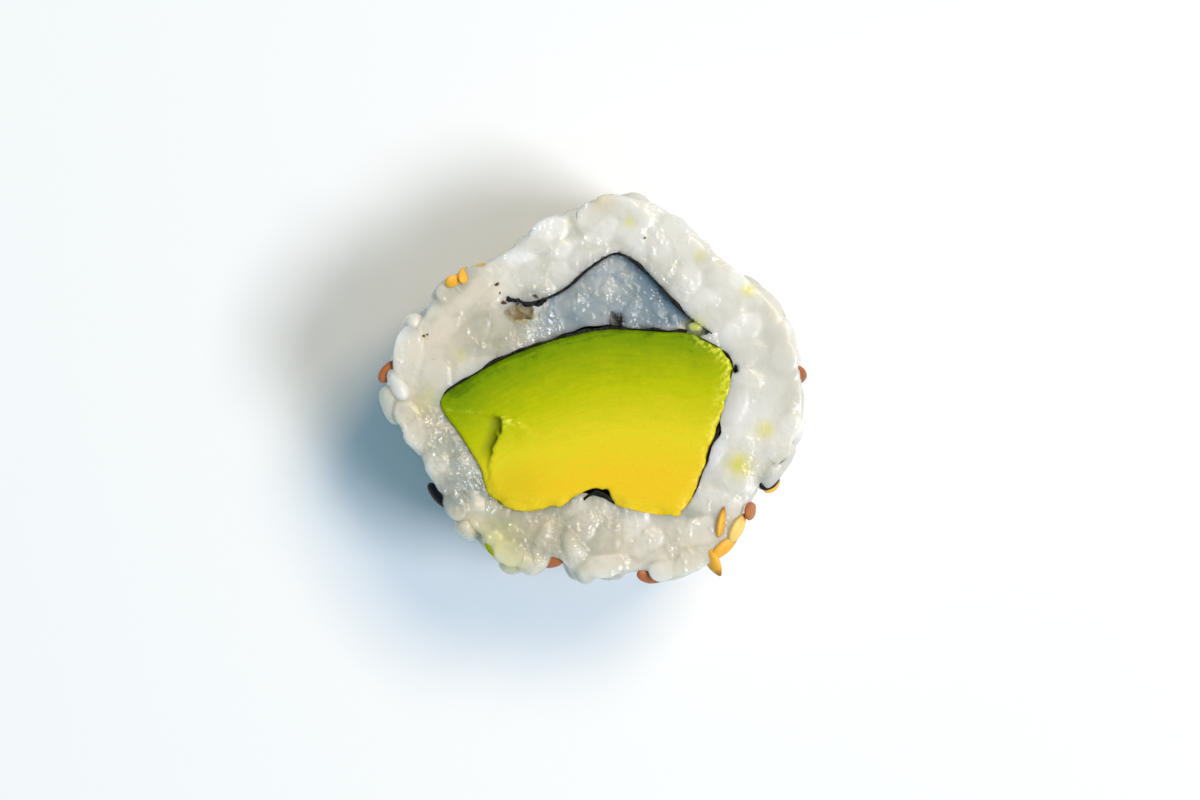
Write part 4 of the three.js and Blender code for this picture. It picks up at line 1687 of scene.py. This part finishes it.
@dataclass
class Nori:
    """The nori: one crinkled sheet round the avocado and over the rice wedge, its cut edge uneven."""

    plan: RollPlan
    bench: Bench
    finish: NoriFinish
    setback: float = 0.1
    foot: float = 0.04
    rows: int = 48
    ripple: float = 0.25
    ripple_steps: int = 5
    deepest: float = 1.5
    bow_height: float = 3.0
    crinkles: tuple[Place, ...] = ((2.2, 0.22), (0.6, 0.14))
    flake_heights: Place = (1.4, 0.25)
    flake_voxel: float = 0.1
    flake_crinkles: tuple[Place, ...] = ((0.5, 0.4),)
    speck_shape: Place = (1.0, 0.55, 0.3)
    speck_tilt: float = 0.2
    speck_relief: float = 0.25
    speck_pitch: float = 5.0
    search: float = 5.0
    usual_sink: float = 0.3
    seed: int = 3
    leans: tuple[Place, ...] = ((0.2, -11.6, 1.7, 1.2),)
    specks: NoriFinish = NoriFinish("dry_nori", srgb(60, 42, 30), srgb(104, 80, 52))
    crumbs: tuple[Place, ...] = (
        (-10.1, 11.0, 0.28), (-9.8, 10.1, 0.16), (-17.7, 5.7, 0.26), (-17.3, 5.8, 0.16),
        (5.2, 15.8, 0.16), (-6.1, 9.75, 0.3), (-9.4, 9.1, 0.35),
    )
    torn_end: tuple[Place, ...] = (
        (-9.5, 9.4), (-9.0, 9.8), (-8.5, 9.5), (-8.1, 9.8), (-7.6, 9.5), (-7.2, 9.25), (-6.6, 9.15),
        (-5.9, 9.15), (-5.2, 9.5), (-4.9, 9.25), (-5.6, 8.75), (-6.4, 8.75), (-7.0, 8.65), (-7.6, 9.0),
        (-8.2, 8.9), (-8.8, 9.1),
    )

    def build(self, rice: Piece) -> list[Piece]:
        """Builds and dresses the sheet and the crumbs that broke off it."""
        material = self.finish.material()
        return [
            self.bench.hand_over(self.sheet(), material, "nori", "nori"),
            self.bench.hand_over(self.torn_flake(), material, "nori"),
            self.bench.hand_over(self.broken_bits(rice), self.specks.material(), "nori"),
        ]

    def sheet(self) -> Piece:
        """The sheet, bent along its line, thickened and crinkled."""
        rng = np.random.default_rng(self.seed)
        line = self.plan.nori
        count = len(line)
        blur = np.full(self.ripple_steps, 1.0 / self.ripple_steps)
        ripple = np.convolve(rng.normal(0.0, 1.0, count), blur, mode="same")
        upper = self.plan.height - self.setback + self.ripple * ripple
        upper -= np.minimum(spots(self.plan.nori_sunk, line), self.deepest)
        along = headings(line, False)
        left = np.column_stack([-along[:, 1], along[:, 0]])
        lean = spots(self.leans, line)
        settings = {"x_subdivisions": count - 1, "y_subdivisions": self.rows - 1, "size": 1.0}
        sheet = self.bench.primitive("nori_sheet", bpy.ops.mesh.primitive_grid_add, **settings)
        share = np.linspace(0.0, 1.0, self.rows)
        heights = self.foot + (upper - self.foot)[None, :] * share[:, None]
        bent = np.clip((heights - self.plan.height) / self.bow_height + 1.0, 0.0, 1.0)
        bow = lean[None, :] * bent**2
        flat = line[None] + left[None] * bow[:, :, None]
        self.bench.move(sheet, np.concatenate([flat, heights[:, :, None]], axis=2).reshape(-1, 3))
        self.bench.crinkle(sheet, self.crinkles)
        widest = self.plan.gap_limits[1]
        shares = np.tile(self.plan.gap_share(line) / widest, self.rows)
        group = self.bench.weigh(sheet, "thickness", shares)
        thickness = self.plan.sheet_thickness * widest * MM
        self.bench.modify(sheet, "SOLIDIFY", thickness=thickness, offset=0.0, vertex_group=group)
        return sheet

    def torn_flake(self) -> Piece:
        """The ragged flake at the lap's free end."""
        low, high = self.plan.height - np.array(self.flake_heights)
        flake = self.bench.extruded("nori_flake", np.array(self.torn_end)[::-1], low, high)
        self.bench.remesh(flake, self.flake_voxel, 0)
        self.bench.crinkle(flake, self.flake_crinkles)
        return flake

    def broken_bits(self, rice: Piece) -> Piece:
        """Specks of nori on the cut face."""
        rng = np.random.default_rng(self.seed)
        skin = self.bench.skin(rice)
        points, faces = self.bench.ball(subdivisions=2)
        points = points * (1.0 + self.speck_relief * np.sin(points[:, [1, 2, 0]] * self.speck_pitch))
        table = np.array(self.crumbs)
        centres = np.array([self.landed(skin, x, y) for x, y, _ in self.crumbs])
        turn = rng.uniform(0.0, 2.0 * math.pi, len(table))
        tilt = rng.normal(0.0, self.speck_tilt, len(table))
        bits = Kernels.level(centres, table[:, 2:] * np.array([self.speck_shape]), turn, tilt)
        return self.bench.mesh("nori_specks", *bits.arrays(points, faces))

    def landed(self, skin: BVHTree, x: float, y: float) -> Array:
        """Place on the cut face straight under a spot."""
        above = Vector((x, y, self.plan.height + self.search))
        hit, _, _, _ = skin.ray_cast(above, -Vector(UP), 2.0 * self.search)
        return np.array(hit) if hit else np.array([x, y, self.plan.height - self.usual_sink])


# Setting


@dataclass(frozen=True)
class Window:
    """A square soft light: its name, place and side in metres, colour, and power in watts."""

    name: str
    place: Place
    side: float
    colour: Place
    power: float


@dataclass
class Setting:
    """White table, soft light from the right and a camera straight above."""

    plan: RollPlan
    bench: Bench
    frame_px: Place = (1200.0, 800.0)
    centre_px: Place = (594.5, 390.5)
    mm_per_px: float = 0.1035
    lens_mm: float = 100.0
    sensor_mm: float = 36.0
    floor_m: float = 6.0
    dome: Colour = (0.165, 0.31, 0.41, 1.0)
    windows: tuple[Window, ...] = (
        Window("warm_window", (0.640, 0.670, 1.540), 0.60, (1.0, 0.75, 0.45), 16.0),
        Window("cool_window", (0.915, -0.270, 1.530), 0.58, (0.89, 0.90, 0.98), 21.0),
    )

    def build(self) -> None:
        """Builds the table, the light and the camera."""
        self.table()
        self.sky()
        for window in self.windows:
            self.hang(window)
        self.camera()

    def table(self) -> None:
        """The white table top."""
        table = self.bench.primitive("table_top", bpy.ops.mesh.primitive_plane_add, size=self.floor_m)
        table.data.materials.append(FloorFinish().material())

    def sky(self) -> None:
        """Even light from all round."""
        world = bpy.data.worlds.new("studio")
        world.use_nodes = True
        background = world.node_tree.nodes["Background"]
        background.inputs["Color"].default_value = self.dome
        background.inputs["Strength"].default_value = 1.0
        bpy.context.scene.world = world

    def hang(self, window: Window) -> None:
        """Hangs a light that looks at the piece."""
        data = bpy.data.lights.new(window.name, "AREA")
        data.size = window.side
        data.color = window.colour
        data.energy = window.power
        lamp = bpy.data.objects.new(window.name, data)
        lamp.location = window.place
        lamp.rotation_euler = (-Vector(window.place)).to_track_quat("-Z", "Y").to_euler()
        bpy.context.scene.collection.objects.link(lamp)

    def camera(self) -> None:
        """The camera, straight above, with the upper face at the photograph's scale."""
        data = bpy.data.cameras.new("overhead")
        data.lens = self.lens_mm
        data.sensor_width = self.sensor_mm
        camera = bpy.data.objects.new("overhead", data)
        away = self.frame_px[0] * self.mm_per_px * self.lens_mm / self.sensor_mm
        aim_x = (self.frame_px[0] / 2.0 - self.centre_px[0]) * self.mm_per_px
        aim_y = (self.centre_px[1] - self.frame_px[1] / 2.0) * self.mm_per_px
        camera.location = self.bench.to_frame(np.array([aim_x, aim_y, self.plan.height + away]))
        bpy.context.scene.collection.objects.link(camera)
        bpy.context.scene.camera = camera
        bpy.context.scene.view_settings.view_transform = "Standard"


def main() -> None:
    """Builds the pieces in order, then the setting."""
    logging.basicConfig(level=logging.INFO, format="%(message)s")
    plan = RollPlan()
    bench = Bench(plan)
    rice = Rice(plan, bench, RiceFinish()).build()
    pieces = [rice]
    pieces += Sesame(plan, bench, rice).build()
    avocado = Avocado(plan, bench, AvocadoFinish())
    pieces.append(avocado.build())
    pieces.append(avocado.build_crumb(pieces[-1]))
    pieces += Nori(plan, bench, NoriFinish()).build(rice)
    for piece in pieces:
        LOG.info("%s: %d triangles", piece.name, bench.triangles(piece))
    Setting(plan, bench).build()


if __name__ == "__main__":
    main()
